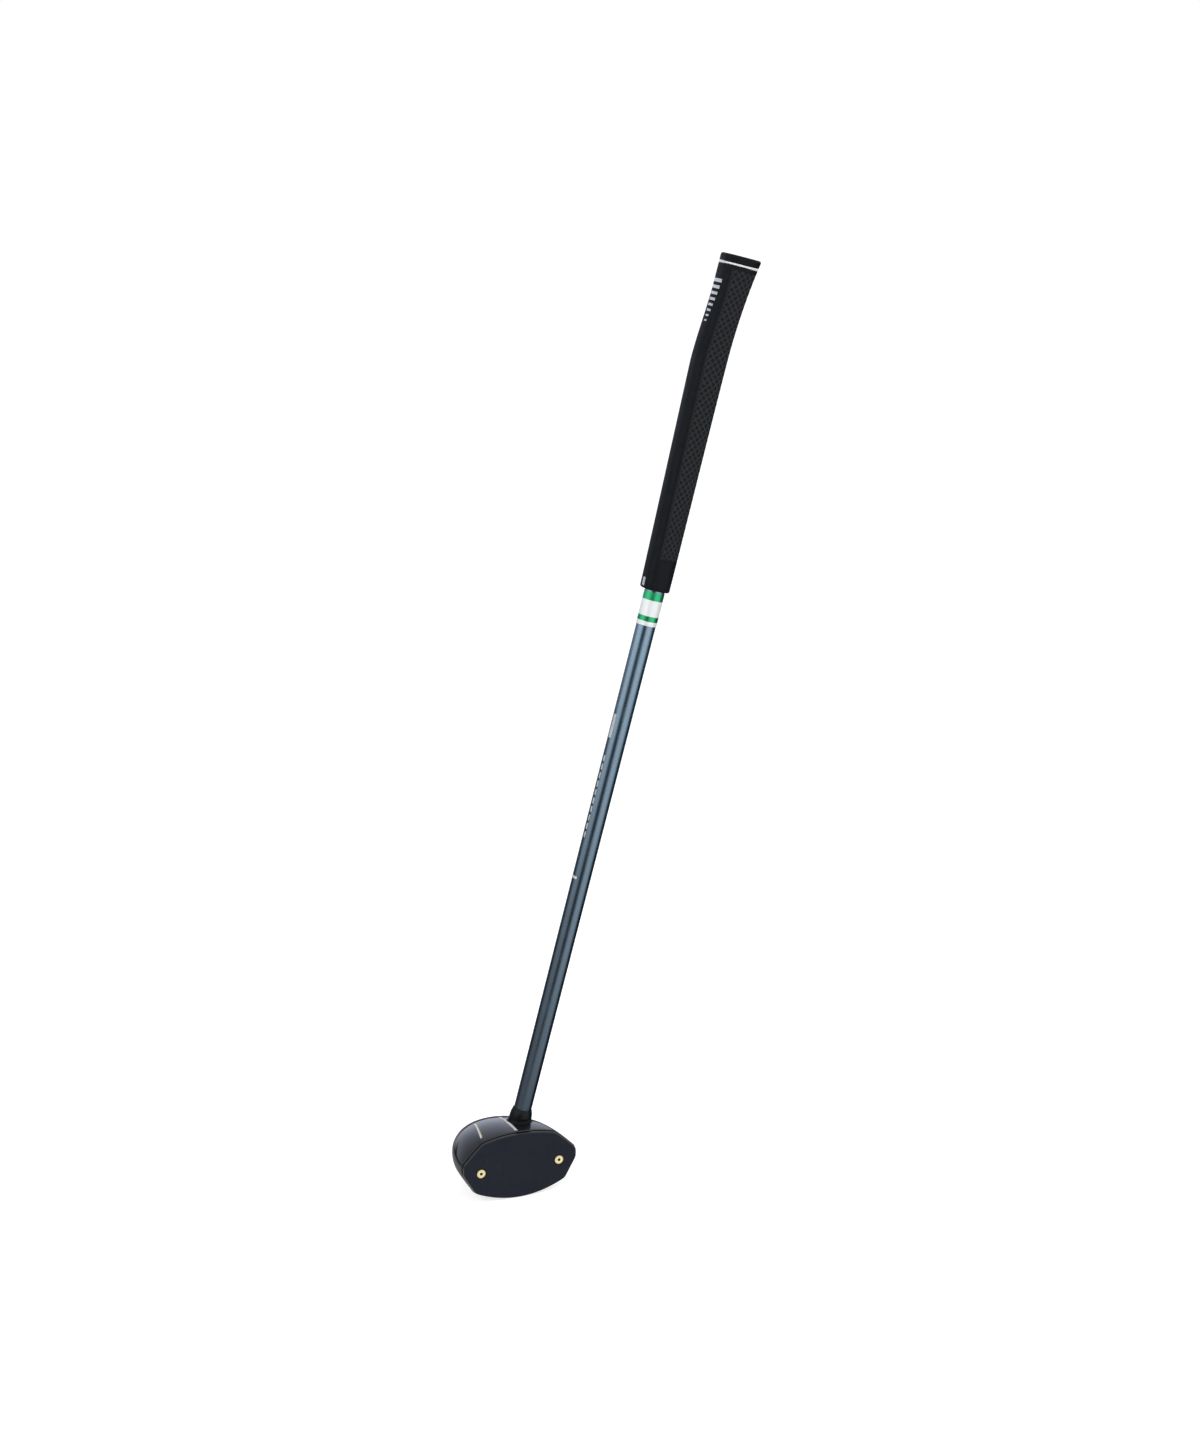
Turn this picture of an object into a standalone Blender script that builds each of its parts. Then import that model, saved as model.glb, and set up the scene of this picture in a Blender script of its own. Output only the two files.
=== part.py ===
"""A park golf club: a lacquered wooden head with a flat face plate, a tapered tube shaft and a pistol grip.

The frame is in metres, +Z up, with the club stood on its sole as at address. The origin is on the flat
of the sole, in the plane that holds the shaft axis. -Y is the way a ball is struck, +X is the heel side,
where the player stands, and -X is the toe side.
"""

from math import atan2, cos, pi, radians, sin

import bmesh
import bpy
from mathutils import Vector

# Clearances between pieces that touch
SEAT = 0.0003
FILM_SEAT = 0.0002
OVERSHOOT = 0.002

# The whole club: the length runs along the shaft axis, from the ground to the top of the grip
CLUB_LENGTH = 0.849
SHAFT_LEAN = radians(15.87)
AXIS_TOE_OFFSET = 0.0055

# Front view of the head, as half sizes from its middle line and heights from the ground
HEAD_HALF_WIDTH = 0.0542
HEAD_HEIGHT = 0.0630
HEEL_FALL = 0.075
TIP_LOW = 0.0295
TIP_HEIGHT = 0.0090
UPPER_CORNER_INSET = 0.0197
CROWN_BOW = 0.0048
FLANK_BOW = 0.0005
LOWER_CORNER_INSET = 0.0112
LOWER_CORNER_Z = 0.0103
SOLE_GRIND = 0.0004
CORNER_ROUND = 0.0028

# Side view of the head: depths run back from the front of the face plate
FACE_SETBACK = 0.0310
HEAD_DEPTH = 0.0760
PLAN_RISE = 1.8
PLAN_ROUND = 2.4
CROWN_RISE = 1.9
CROWN_ROUND = 2.1
SOLE_LEVEL_DEPTH = 0.0300
SOLE_RISE = 2.1
SOLE_ROUND = 2.0
BACK_RISE = 0.0035
BACK_CLIMB = 1.5
BACK_TOEWARD = 0.0060
BACK_SOFTNESS = 1.2
FRONT_EDGE = 0.0007
HEAD_RINGS = 26

# Face plate and the sheet behind it
PLATE_THICKNESS = 0.0030
PLATE_INSET = 0.0008
PLATE_FRONT_EDGE = 0.0011
PLATE_BACK_EDGE = 0.0004
PLATE_EDGE_STEPS = 2
SHEET_THICKNESS = 0.0008
SHEET_INSET = 0.0014

# Face screws: countersunk, driven into the wood, placed from the ends and the middle height of the tips
SCREW_END_MARGIN = 0.0173
SCREW_DROP = 0.0046
SCREW_HEAD_RADIUS = 0.0041
SCREW_SHANK_RADIUS = 0.0019
SCREW_LENGTH = 0.0240
SCREW_POINT = 0.0035
SCREW_RIM = 0.0005
SCREW_SINK = 0.0002
SCREW_SOCKET_FLATS = 0.0025
SCREW_SOCKET_DEPTH = 0.0016

# Brass weight, in a pocket that opens behind the face plate
WEIGHT_RADIUS = 0.0100
WEIGHT_LENGTH = 0.0300
WEIGHT_HEIGHT = 0.0165
WEIGHT_EDGE = 0.0008

# Neck of the head and the ferrule on it: lengths along the shaft axis. The neck stands behind the crown's
# highest point and ends level with it
NECK_RADIUS = 0.0101
NECK_LENGTH = 0.0105
NECK_BASE_RADIUS = 0.0114
NECK_ROOT_LENGTH = 0.0075
NECK_ROOT_RADIUS = 0.0138
FERRULE_LENGTH = 0.0080
FERRULE_BODY_LENGTH = 0.0038
FERRULE_RADIUS = 0.0099
FERRULE_LIP = 0.0004

# Shaft: a tapered tube that stands in the bore of the head, this deep under the neck's top
SHAFT_DEPTH = 0.0285
SHAFT_TIP_RADIUS = 0.0078
SHAFT_BUTT_GAP = 0.0120
SHAFT_BUTT_RADIUS = 0.0093
SHAFT_WALL = 0.0013
BORE_RELIEF = 0.0010
TIP_PLUG_LENGTH = 0.0080

# Label band round the shaft, just under the grip
BAND_TOP_GAP = 0.0015
BAND_LENGTH = 0.0280
BAND_THICKNESS = 0.0002

# Grip: a rubber sleeve, a thin ring and a cap, measured down from the top of the club
GRIP_LENGTH = 0.2940
GRIP_FRONT_LOW = 0.0123
GRIP_FRONT_BULGE = 0.0188
GRIP_FRONT_TOP = 0.0152
GRIP_REAR_LOW = 0.0127
GRIP_REAR_WAIST = 0.0114
GRIP_REAR_TOP = 0.0201
GRIP_SIDE_LOW = 0.0118
GRIP_SIDE_TOP = 0.0135
GRIP_BULGE_DROP = 0.0950
GRIP_BULGE_FADE = 0.0700
GRIP_FLARE_DROP = 0.0880
GRIP_FLARE_POWER = 1.9
GRIP_FRONT_SQUARE = 3.4
GRIP_REAR_SQUARE = 2.1
GRIP_MOUTH_EDGE = 0.0016
GRIP_POINTS = 44
GRIP_RINGS = 30
CAP_HEIGHT = 0.0066
CAP_EDGE = 0.0020
CAP_RINGS = 5
RING_HEIGHT = 0.0016
TAPE_THICKNESS = 0.0003
TAPE_MARGIN = 0.0060
STEM_LENGTH = 0.0160
STEM_EDGE = 0.0010

# Points along each stretch of the head's outline, and steps of round pieces
TIP_STEPS = 2
FLANK_STEPS = 6
CROWN_STEPS = 16
LOWER_STEPS = 5
SOLE_STEPS = 18
CORNER_STEPS = 3
TURN_STEPS = 48
SCREW_STEPS = 24
HEX_SIDES = 6

# Modelling limits: points this near are one, and edges blunter than this are flat or smooth
WELD = 0.000001
TURN_WELD = 0.00001
MITRE_LEAST = 0.5
FLAT_ANGLE = radians(1)
SMOOTH_ANGLE = radians(35)

# Finishes: colour, roughness and how metallic
FINISHES = {
    "black_lacquer": ((0.012, 0.012, 0.014), 0.14, 0.0),
    "plate_black": ((0.020, 0.022, 0.030), 0.42, 0.0),
    "sheet_black": ((0.008, 0.008, 0.008), 0.80, 0.0),
    "brass": ((0.78, 0.58, 0.22), 0.28, 1.0),
    "collar_black": ((0.015, 0.015, 0.016), 0.35, 0.0),
    "shaft_blue": ((0.10, 0.16, 0.22), 0.30, 0.6),
    "band_film": ((0.55, 0.58, 0.56), 0.30, 0.7),
    "tape_white": ((0.70, 0.68, 0.60), 0.80, 0.0),
    "grip_black": ((0.022, 0.022, 0.024), 0.62, 0.0),
    "ring_white": ((0.80, 0.80, 0.80), 0.40, 0.0),
    "plug_grey": ((0.20, 0.20, 0.20), 0.70, 0.0),
}

# Values worked out from the sizes above
TIP_HIGH = TIP_LOW + TIP_HEIGHT
TIP_MIDDLE = TIP_LOW + TIP_HEIGHT / 2
UPPER_CORNER_X = HEAD_HALF_WIDTH - UPPER_CORNER_INSET
LOWER_CORNER_X = HEAD_HALF_WIDTH - LOWER_CORNER_INSET
BACK_HEIGHT = TIP_MIDDLE + BACK_RISE
FACE_Y = -FACE_SETBACK
PLATE_BACK_Y = FACE_Y + PLATE_THICKNESS
SHEET_FRONT_Y = PLATE_BACK_Y + SEAT
SHEET_BACK_Y = SHEET_FRONT_Y + SHEET_THICKNESS
BODY_FRONT_Y = SHEET_BACK_Y + SEAT
BODY_DEPTH = FACE_Y + HEAD_DEPTH - BODY_FRONT_Y
SCREW_X = HEAD_HALF_WIDTH - SCREW_END_MARGIN
SCREW_Z = TIP_MIDDLE - SCREW_DROP
SCREW_PLACES = (("toe", -SCREW_X), ("heel", SCREW_X))
NECK_TOP = HEAD_HEIGHT / cos(SHAFT_LEAN)
NECK_BASE = NECK_TOP - NECK_LENGTH
NECK_ROOT = NECK_BASE - NECK_ROOT_LENGTH
FERRULE_SHOULDER = NECK_TOP + FERRULE_BODY_LENGTH
FERRULE_TOP = NECK_TOP + FERRULE_LENGTH
SHAFT_TIP = NECK_TOP - SHAFT_DEPTH
SHAFT_BUTT = CLUB_LENGTH - SHAFT_BUTT_GAP
GRIP_MOUTH = CLUB_LENGTH - GRIP_LENGTH
CAP_BASE = CLUB_LENGTH - CAP_HEIGHT
RING_BASE = CAP_BASE - SEAT - RING_HEIGHT
GRIP_TOP = RING_BASE - SEAT
BAND_TOP = GRIP_MOUTH - BAND_TOP_GAP


def clear_scene():
    """Empties the scene, whatever it holds."""
    for item in list(bpy.data.objects):
        bpy.data.objects.remove(item, do_unlink=True)


def new_collection(name):
    """A collection of this name, linked to the scene."""
    collection = bpy.data.collections.new(name)
    bpy.context.scene.collection.children.link(collection)
    return collection


def new_material(name, colour, roughness, metallic):
    """A Principled material with this colour and finish."""
    material = bpy.data.materials.new(name)
    material.use_nodes = True
    shader = material.node_tree.nodes["Principled BSDF"]
    shader.inputs["Base Color"].default_value = (*colour, 1.0)
    shader.inputs["Roughness"].default_value = roughness
    shader.inputs["Metallic"].default_value = metallic
    material.diffuse_color = (*colour, 1.0)
    return material


def add_object(name, mesh, collection, material=None, parent=None):
    """Puts a mesh in the scene as an object of its own."""
    item = bpy.data.objects.new(name, mesh)
    collection.objects.link(item)
    item.parent = parent
    if material:
        mesh.materials.append(material)
    return item


def as_cutter(item):
    """Marks an object as a tool that only cuts or joins."""
    item.hide_render = True
    item.display_type = "WIRE"
    return item


def boolean(item, tool, operation):
    """Cuts a tool from an object, or joins it on."""
    modifier = item.modifiers.new(f"{operation.title()} {tool.name}", "BOOLEAN")
    modifier.object = tool
    modifier.operation = operation
    modifier.solver = "EXACT"
    return modifier


def round_rims(item, front, back, segments):
    """Rounds the rims of an upright plate, the front one by one width and the back one by another."""
    form = bmesh.new()
    form.from_mesh(item.data)
    weights = form.edges.layers.float.new("bevel_weight_edge")
    for edge in form.edges:
        heights = [corner.co.z for corner in edge.verts]
        if min(heights) > 0:
            edge[weights] = 1.0
        elif max(heights) < 0:
            edge[weights] = back / front
    form.to_mesh(item.data)
    form.free()
    modifier = item.modifiers.new("Rims", "BEVEL")
    modifier.width = front
    modifier.segments = segments
    modifier.limit_method = "WEIGHT"
    return modifier


def turned(name, profile, collection, material=None, parent=None, steps=TURN_STEPS, ring=False):
    """A turned piece. The profile is (radius, height) pairs that run down its outer side.

    A ring's profile goes back up its inner side and closes on itself, and another one starts and
    ends on the axis.
    """
    mesh = bpy.data.meshes.new(name)
    edges = [(i, i + 1) for i in range(len(profile) - 1)]
    if ring:
        edges.append((len(profile) - 1, 0))
    mesh.from_pydata([(radius, 0.0, height) for radius, height in profile], edges, [])
    item = add_object(name, mesh, collection, material, parent)
    screw = item.modifiers.new("Turn", "SCREW")
    screw.axis = "Z"
    screw.angle = 2 * pi
    screw.steps = steps
    screw.render_steps = steps
    screw.use_merge_vertices = True
    screw.merge_threshold = TURN_WELD
    screw.use_smooth_shade = True
    return item


def lofted(name, rings, collection, material=None, parent=None):
    """A closed skin over rings of equally many points, each ring run round the same way.

    A ring of one point is a pole, and any other end ring is closed with a flat face.
    """
    form = bmesh.new()
    rows = [[form.verts.new(point) for point in ring] for ring in rings]
    for row, after in zip(rows, rows[1:]):
        for i in range(max(len(row), len(after))):
            corners = [row[i % len(row)], row[(i + 1) % len(row)]]
            corners += [after[(i + 1) % len(after)], after[i % len(after)]]
            form.faces.new(list(dict.fromkeys(corners)))
    for end in (rows[0], rows[-1]):
        if len(end) > 1:
            form.faces.new(end)
    bmesh.ops.recalc_face_normals(form, faces=form.faces)
    mesh = bpy.data.meshes.new(name)
    form.to_mesh(mesh)
    form.free()
    mesh.shade_smooth()
    mesh.set_sharp_from_angle(angle=SMOOTH_ANGLE)
    return add_object(name, mesh, collection, material, parent)


def plate_from_outline(name, outline, thickness, collection, material):
    """A flat plate that stands upright, from (x, z) points, with its middle at y = 0."""
    curve = bpy.data.curves.new(name, "CURVE")
    curve.dimensions = "2D"
    curve.fill_mode = "BOTH"
    curve.extrude = thickness / 2
    spline = curve.splines.new("POLY")
    spline.points.add(len(outline) - 1)
    for point, (x, z) in zip(spline.points, outline):
        point.co = (x, z, 0.0, 1.0)
    spline.use_cyclic_u = True
    flat = bpy.data.objects.new(name + "_outline", curve)
    collection.objects.link(flat)
    flat.rotation_euler = (pi / 2, 0.0, 0.0)
    graph = bpy.context.evaluated_depsgraph_get()
    mesh = bpy.data.meshes.new_from_object(flat.evaluated_get(graph))
    mesh.name = name
    form = bmesh.new()
    form.from_mesh(mesh)
    bmesh.ops.remove_doubles(form, verts=form.verts, dist=WELD)
    bmesh.ops.dissolve_limit(form, angle_limit=FLAT_ANGLE, verts=form.verts, edges=form.edges)
    form.to_mesh(mesh)
    form.free()
    mesh.materials.clear()
    item = add_object(name, mesh, collection, material)
    item.matrix_world = flat.matrix_world
    bpy.data.objects.remove(flat, do_unlink=True)
    return item


def run_points(start, end, bow, count, trim=0.0):
    """Points of a stretch from start to end, cut short at both ends.

    It bows to its left as a parabola that stands off its chord by the bow in the middle.
    """
    start, end = Vector(start), Vector(end)
    chord = end - start
    left = Vector((-chord.y, chord.x)).normalized()
    share = trim / chord.length
    points = []
    for i in range(count + 1):
        t = share + (1 - 2 * share) * i / count
        points.append(start + chord * t + left * (bow * 4 * t * (1 - t)))
    return points


def corner_points(before, corner, after, count):
    """Points of the round that joins two stretches, with the old corner as its control point."""
    points = []
    for i in range(1, count):
        t = i / count
        points.append(before * (1 - t) ** 2 + Vector(corner) * 2 * t * (1 - t) + after * t**2)
    return points


def even_outline():
    """The head's front outline before its crown falls to the heel: (x, z) vectors from the toe tip."""
    upper_z = HEAD_HEIGHT - CROWN_BOW
    corners = [
        (-HEAD_HALF_WIDTH, TIP_LOW),
        (-HEAD_HALF_WIDTH, TIP_HIGH),
        (-UPPER_CORNER_X, upper_z),
        (UPPER_CORNER_X, upper_z),
        (HEAD_HALF_WIDTH, TIP_HIGH),
        (HEAD_HALF_WIDTH, TIP_LOW),
        (LOWER_CORNER_X, LOWER_CORNER_Z),
        (-LOWER_CORNER_X, LOWER_CORNER_Z),
    ]
    sole_bow = LOWER_CORNER_Z + SOLE_GRIND
    bows = [0.0, FLANK_BOW, CROWN_BOW, FLANK_BOW, 0.0, 0.0, sole_bow, 0.0]
    counts = [TIP_STEPS, FLANK_STEPS, CROWN_STEPS, FLANK_STEPS]
    counts += [TIP_STEPS, LOWER_STEPS, SOLE_STEPS, LOWER_STEPS]
    runs = []
    for i, corner in enumerate(corners):
        after = corners[(i + 1) % len(corners)]
        runs.append(run_points(corner, after, bows[i], counts[i], CORNER_ROUND))
    outline = []
    for i, run in enumerate(runs):
        following = (i + 1) % len(runs)
        outline += run
        outline += corner_points(run[-1], corners[following], runs[following][0], CORNER_STEPS)
    return outline


def crown_share(x):
    """How much of its height the crown keeps this far from the middle: all of it at the toe."""
    return 1 - HEEL_FALL * (x / HEAD_HALF_WIDTH + 1) / 2


def head_outline():
    """The head's front outline as (x, z) vectors, clockwise seen from the front, from the toe tip."""
    outline = []
    for x, z in even_outline():
        rise = max(z - TIP_MIDDLE, 0.0)
        outline.append(Vector((x, z - rise * (1 - crown_share(x)))))
    return outline


def inset_outline(outline, distance):
    """The outline moved inward by a distance, each point along the mean of its two sides' normals."""
    moved = []
    for i, point in enumerate(outline):
        before = (point - outline[i - 1]).normalized()
        after = (outline[(i + 1) % len(outline)] - point).normalized()
        along = (before + after).normalized()
        inward = Vector((along.y, -along.x))
        mitre = max(along.dot(after), MITRE_LEAST)
        moved.append(point + inward * distance / mitre)
    return moved


def between(low, high, share):
    """The value at this share of the way from one to the other."""
    return low + (high - low) * share


def closing(share, rise, roundness):
    """How far a section has kept its size at this share of the depth: 1 at the front, 0 at the back."""
    return max(1 - share**rise, 0.0) ** (1 / roundness)


def head_section(share):
    """The head's section at this share of the body's depth, as points in the head's frame.

    Each section is the front outline, narrowed and lowered by its own law for the plan, the crown and
    the sole, and drawn toward an ellipse as it goes back.
    """
    width = closing(share, PLAN_RISE, PLAN_ROUND)
    above = closing(share, CROWN_RISE, CROWN_ROUND)
    level_share = (SOLE_LEVEL_DEPTH - BODY_FRONT_Y + FACE_Y) / BODY_DEPTH
    below = closing(max((share - level_share) / (1 - level_share), 0.0), SOLE_RISE, SOLE_ROUND)
    centre = TIP_MIDDLE + BACK_RISE * share**BACK_CLIMB
    below *= centre / TIP_MIDDLE
    depth = BODY_FRONT_Y + BODY_DEPTH * share
    softness = min(BACK_SOFTNESS * share, 1.0)
    points = []
    for x, z in even_outline():
        height = z - TIP_MIDDLE
        reach = HEAD_HEIGHT - TIP_MIDDLE if height > 0 else TIP_MIDDLE
        angle = atan2(height / reach, x / HEAD_HALF_WIDTH)
        x = between(x, HEAD_HALF_WIDTH * cos(angle), softness)
        height = between(height, reach * sin(angle), softness)
        height *= above * crown_share(x) if height > 0 else below
        points.append(Vector((x * width - BACK_TOEWARD * share, depth, centre + height)))
    return points


def neck_profile():
    """Profile of the neck: narrow under the ferrule, hollowed a little, and wider down to the dome."""
    hollow = between(NECK_RADIUS, NECK_BASE_RADIUS, 1 / 2) - FERRULE_LIP
    return [
        (0.0, NECK_TOP),
        (NECK_RADIUS - FERRULE_LIP, NECK_TOP),
        (NECK_RADIUS, NECK_TOP - FERRULE_LIP),
        (hollow, between(NECK_TOP, NECK_BASE, 1 / 2)),
        (NECK_BASE_RADIUS, NECK_BASE),
        (NECK_ROOT_RADIUS, NECK_ROOT),
        (0.0, NECK_ROOT),
    ]


def build_head_body(parts, cutters, material, axis):
    """The wooden head: a dome lofted back from the face, with a turned neck, bored for what it holds."""
    outline = head_outline()
    edge = inset_outline(outline, FRONT_EDGE)
    rings = [[Vector((x, BODY_FRONT_Y, z)) for x, z in edge]]
    rings.append([Vector((x, BODY_FRONT_Y + FRONT_EDGE, z)) for x, z in outline])
    first = FRONT_EDGE / BODY_DEPTH
    for i in range(1, HEAD_RINGS):
        share = sin(pi / 2 * i / HEAD_RINGS)
        rings.append(head_section(first + (1 - first) * share))
    rings.append([Vector((-BACK_TOEWARD, BODY_FRONT_Y + BODY_DEPTH, BACK_HEIGHT))])
    body = lofted("head_body", rings, parts, material)
    neck = turned("neck_tool", neck_profile(), cutters, parent=axis)
    boolean(body, as_cutter(neck), "UNION")
    boolean(body, ground_tool(cutters), "DIFFERENCE")
    bore = turned(
        "shaft_bore_tool",
        [
            (0.0, NECK_TOP + OVERSHOOT),
            (shaft_radius(NECK_TOP + OVERSHOOT) + SEAT, NECK_TOP + OVERSHOOT),
            (shaft_radius(SHAFT_TIP) + SEAT, SHAFT_TIP),
            (shaft_radius(SHAFT_TIP) + SEAT, SHAFT_TIP - BORE_RELIEF),
            (0.0, SHAFT_TIP - BORE_RELIEF),
        ],
        cutters,
        parent=axis,
    )
    boolean(body, as_cutter(bore), "DIFFERENCE")
    pocket = turned(
        "weight_pocket_tool",
        pin_profile(WEIGHT_RADIUS + SEAT, WEIGHT_LENGTH + SEAT, OVERSHOOT),
        cutters,
    )
    face_into_head(pocket, 0.0, WEIGHT_HEIGHT, BODY_FRONT_Y)
    boolean(body, as_cutter(pocket), "DIFFERENCE")
    for side, x in SCREW_PLACES:
        pilot = turned(
            f"pilot_hole_{side}_tool",
            pilot_profile(),
            cutters,
            steps=SCREW_STEPS,
        )
        face_into_head(pilot, x, SCREW_Z, BODY_FRONT_Y)
        boolean(body, as_cutter(pilot), "DIFFERENCE")
    return body


def ground_tool(cutters):
    """A block whose top is the ground: it grinds the small flat on the cambered sole."""
    bpy.ops.mesh.primitive_cube_add(size=2 * HEAD_HALF_WIDTH)
    block = bpy.context.object
    block.name = "ground_tool"
    block.location = (0.0, BODY_FRONT_Y + BODY_DEPTH / 2, -HEAD_HALF_WIDTH)
    for collection in list(block.users_collection):
        collection.objects.unlink(block)
    cutters.objects.link(block)
    return as_cutter(block)


def pin_profile(radius, depth, proud):
    """Profile of a plain round tool that starts proud of a surface and ends at a depth under it."""
    return [(0.0, proud), (radius, proud), (radius, -depth), (0.0, -depth)]


def pilot_profile():
    """Profile of the hole that a face screw stands in, from the front of the wood."""
    reach = SCREW_LENGTH + SCREW_SINK - (BODY_FRONT_Y - FACE_Y) + SEAT
    radius = SCREW_SHANK_RADIUS + SEAT
    return [
        (0.0, OVERSHOOT),
        (radius, OVERSHOOT),
        (radius, SCREW_POINT - reach),
        (SEAT, -reach),
        (0.0, -reach),
    ]


def face_into_head(item, x, z, y):
    """Turns a piece made along Z so that its depth runs back into the head, from this point."""
    item.rotation_euler = (pi / 2, 0.0, 0.0)
    item.location = (x, y, z)


def shaft_radius(height):
    """The shaft's outer radius at a height along its axis."""
    share = (height - SHAFT_TIP) / (SHAFT_BUTT - SHAFT_TIP)
    return between(SHAFT_TIP_RADIUS, SHAFT_BUTT_RADIUS, share)


def sleeve_profile(bottom, top, inner_gap, thickness):
    """Closed profile of a thin sleeve that follows the shaft's taper."""
    outer = inner_gap + thickness
    return [
        (shaft_radius(top) + outer, top),
        (shaft_radius(bottom) + outer, bottom),
        (shaft_radius(bottom) + inner_gap, bottom),
        (shaft_radius(top) + inner_gap, top),
    ]


def build_face_plate(parts, cutters, material):
    """The flat hitting plate, with a small edge round and two countersunk holes."""
    outline = inset_outline(head_outline(), PLATE_INSET)
    plate = plate_from_outline("face_plate", outline, PLATE_THICKNESS, parts, material)
    plate.location.y = (FACE_Y + PLATE_BACK_Y) / 2
    round_rims(plate, PLATE_FRONT_EDGE, PLATE_BACK_EDGE, PLATE_EDGE_STEPS)
    cone = SCREW_HEAD_RADIUS - SCREW_SHANK_RADIUS
    hole = SCREW_SHANK_RADIUS + SEAT
    rim = SCREW_HEAD_RADIUS + SEAT
    shelf = SCREW_SINK + SCREW_RIM
    for side, x in SCREW_PLACES:
        sink = turned(
            f"countersink_{side}_tool",
            [
                (0.0, OVERSHOOT),
                (rim, OVERSHOOT),
                (rim, -shelf),
                (hole, -shelf - cone),
                (hole, -PLATE_THICKNESS - OVERSHOOT),
                (0.0, -PLATE_THICKNESS - OVERSHOOT),
            ],
            cutters,
            steps=SCREW_STEPS,
        )
        face_into_head(sink, x, SCREW_Z, FACE_Y)
        boolean(plate, as_cutter(sink), "DIFFERENCE")
    return plate


def build_backing_sheet(parts, cutters, material):
    """The thin dark sheet that beds the face plate on the wood."""
    outline = inset_outline(head_outline(), SHEET_INSET)
    sheet = plate_from_outline("backing_sheet", outline, SHEET_THICKNESS, parts, material)
    sheet.location.y = (SHEET_FRONT_Y + SHEET_BACK_Y) / 2
    for side, x in SCREW_PLACES:
        hole = turned(
            f"sheet_hole_{side}_tool",
            pin_profile(SCREW_SHANK_RADIUS + SEAT, SHEET_THICKNESS + OVERSHOOT, OVERSHOOT),
            cutters,
            steps=SCREW_STEPS,
        )
        face_into_head(hole, x, SCREW_Z, SHEET_FRONT_Y)
        boolean(sheet, as_cutter(hole), "DIFFERENCE")
    return sheet


def build_face_screw(side, x, parts, cutters, material):
    """A countersunk wood screw with a hexagonal socket, its head just under the face."""
    cone = SCREW_HEAD_RADIUS - SCREW_SHANK_RADIUS
    screw = turned(
        f"face_screw_{side}",
        [
            (0.0, 0.0),
            (SCREW_HEAD_RADIUS, 0.0),
            (SCREW_HEAD_RADIUS, -SCREW_RIM),
            (SCREW_SHANK_RADIUS, -SCREW_RIM - cone),
            (SCREW_SHANK_RADIUS, SCREW_POINT - SCREW_LENGTH),
            (0.0, -SCREW_LENGTH),
        ],
        parts,
        material,
        steps=SCREW_STEPS,
    )
    face_into_head(screw, x, SCREW_Z, FACE_Y + SCREW_SINK)
    socket = turned(
        f"socket_{side}_tool",
        pin_profile(SCREW_SOCKET_FLATS / 2 / cos(pi / HEX_SIDES), SCREW_SOCKET_DEPTH, OVERSHOOT),
        cutters,
        steps=HEX_SIDES,
    )
    face_into_head(socket, x, SCREW_Z, FACE_Y + SCREW_SINK)
    boolean(screw, as_cutter(socket), "DIFFERENCE")
    return screw


def build_head_weight(parts, material):
    """The brass slug in its pocket behind the face."""
    edge = WEIGHT_RADIUS - WEIGHT_EDGE
    weight = turned(
        "head_weight",
        [
            (0.0, -SEAT),
            (edge, -SEAT),
            (WEIGHT_RADIUS, -SEAT - WEIGHT_EDGE),
            (WEIGHT_RADIUS, WEIGHT_EDGE - WEIGHT_LENGTH),
            (edge, -WEIGHT_LENGTH),
            (0.0, -WEIGHT_LENGTH),
        ],
        parts,
        material,
    )
    face_into_head(weight, 0.0, WEIGHT_HEIGHT, BODY_FRONT_Y)
    return weight


def build_ferrule(parts, material, axis):
    """The collar that hides the joint of shaft and neck: straight below, drawn in to the shaft above."""
    bottom = NECK_TOP + SEAT
    return turned(
        "ferrule",
        [
            (shaft_radius(FERRULE_TOP) + SEAT + FERRULE_LIP, FERRULE_TOP),
            (FERRULE_RADIUS - FERRULE_LIP, FERRULE_SHOULDER + FERRULE_LIP),
            (FERRULE_RADIUS, FERRULE_SHOULDER - FERRULE_LIP),
            (NECK_RADIUS, bottom + FERRULE_LIP),
            (NECK_RADIUS - FERRULE_LIP, bottom),
            (shaft_radius(bottom) + SEAT, bottom),
            (shaft_radius(FERRULE_TOP) + SEAT, FERRULE_TOP),
        ],
        parts,
        material,
        axis,
        ring=True,
    )


def build_shaft(parts, material, axis):
    """The tapered tube, open at both ends."""
    return turned(
        "shaft",
        [
            (shaft_radius(SHAFT_BUTT), SHAFT_BUTT),
            (shaft_radius(SHAFT_TIP + SEAT), SHAFT_TIP + SEAT),
            (shaft_radius(SHAFT_TIP + SEAT) - SHAFT_WALL, SHAFT_TIP + SEAT),
            (shaft_radius(SHAFT_BUTT) - SHAFT_WALL, SHAFT_BUTT),
        ],
        parts,
        material,
        axis,
        ring=True,
    )


def build_tip_plug(parts, material, axis):
    """The plug that keeps the glue out of the shaft's lower end."""
    bottom = SHAFT_TIP + SEAT
    top = bottom + TIP_PLUG_LENGTH
    radius = shaft_radius(bottom) - SHAFT_WALL - SEAT
    return turned(
        "shaft_tip_plug",
        [
            (0.0, top),
            (radius - WEIGHT_EDGE, top),
            (radius, top - WEIGHT_EDGE),
            (radius, bottom),
            (0.0, bottom),
        ],
        parts,
        material,
        axis,
    )


def build_label_band(parts, material, axis):
    """The film ring round the shaft under the grip."""
    return turned(
        "label_band",
        sleeve_profile(BAND_TOP - BAND_LENGTH, BAND_TOP, FILM_SEAT, BAND_THICKNESS),
        parts,
        material,
        axis,
        ring=True,
    )


def build_grip_tape(parts, material, axis):
    """The double-sided tape that holds the grip on the shaft."""
    return turned(
        "grip_tape",
        sleeve_profile(GRIP_MOUTH + TAPE_MARGIN, SHAFT_BUTT - TAPE_MARGIN, SEAT, TAPE_THICKNESS),
        parts,
        material,
        axis,
        ring=True,
    )


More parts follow.
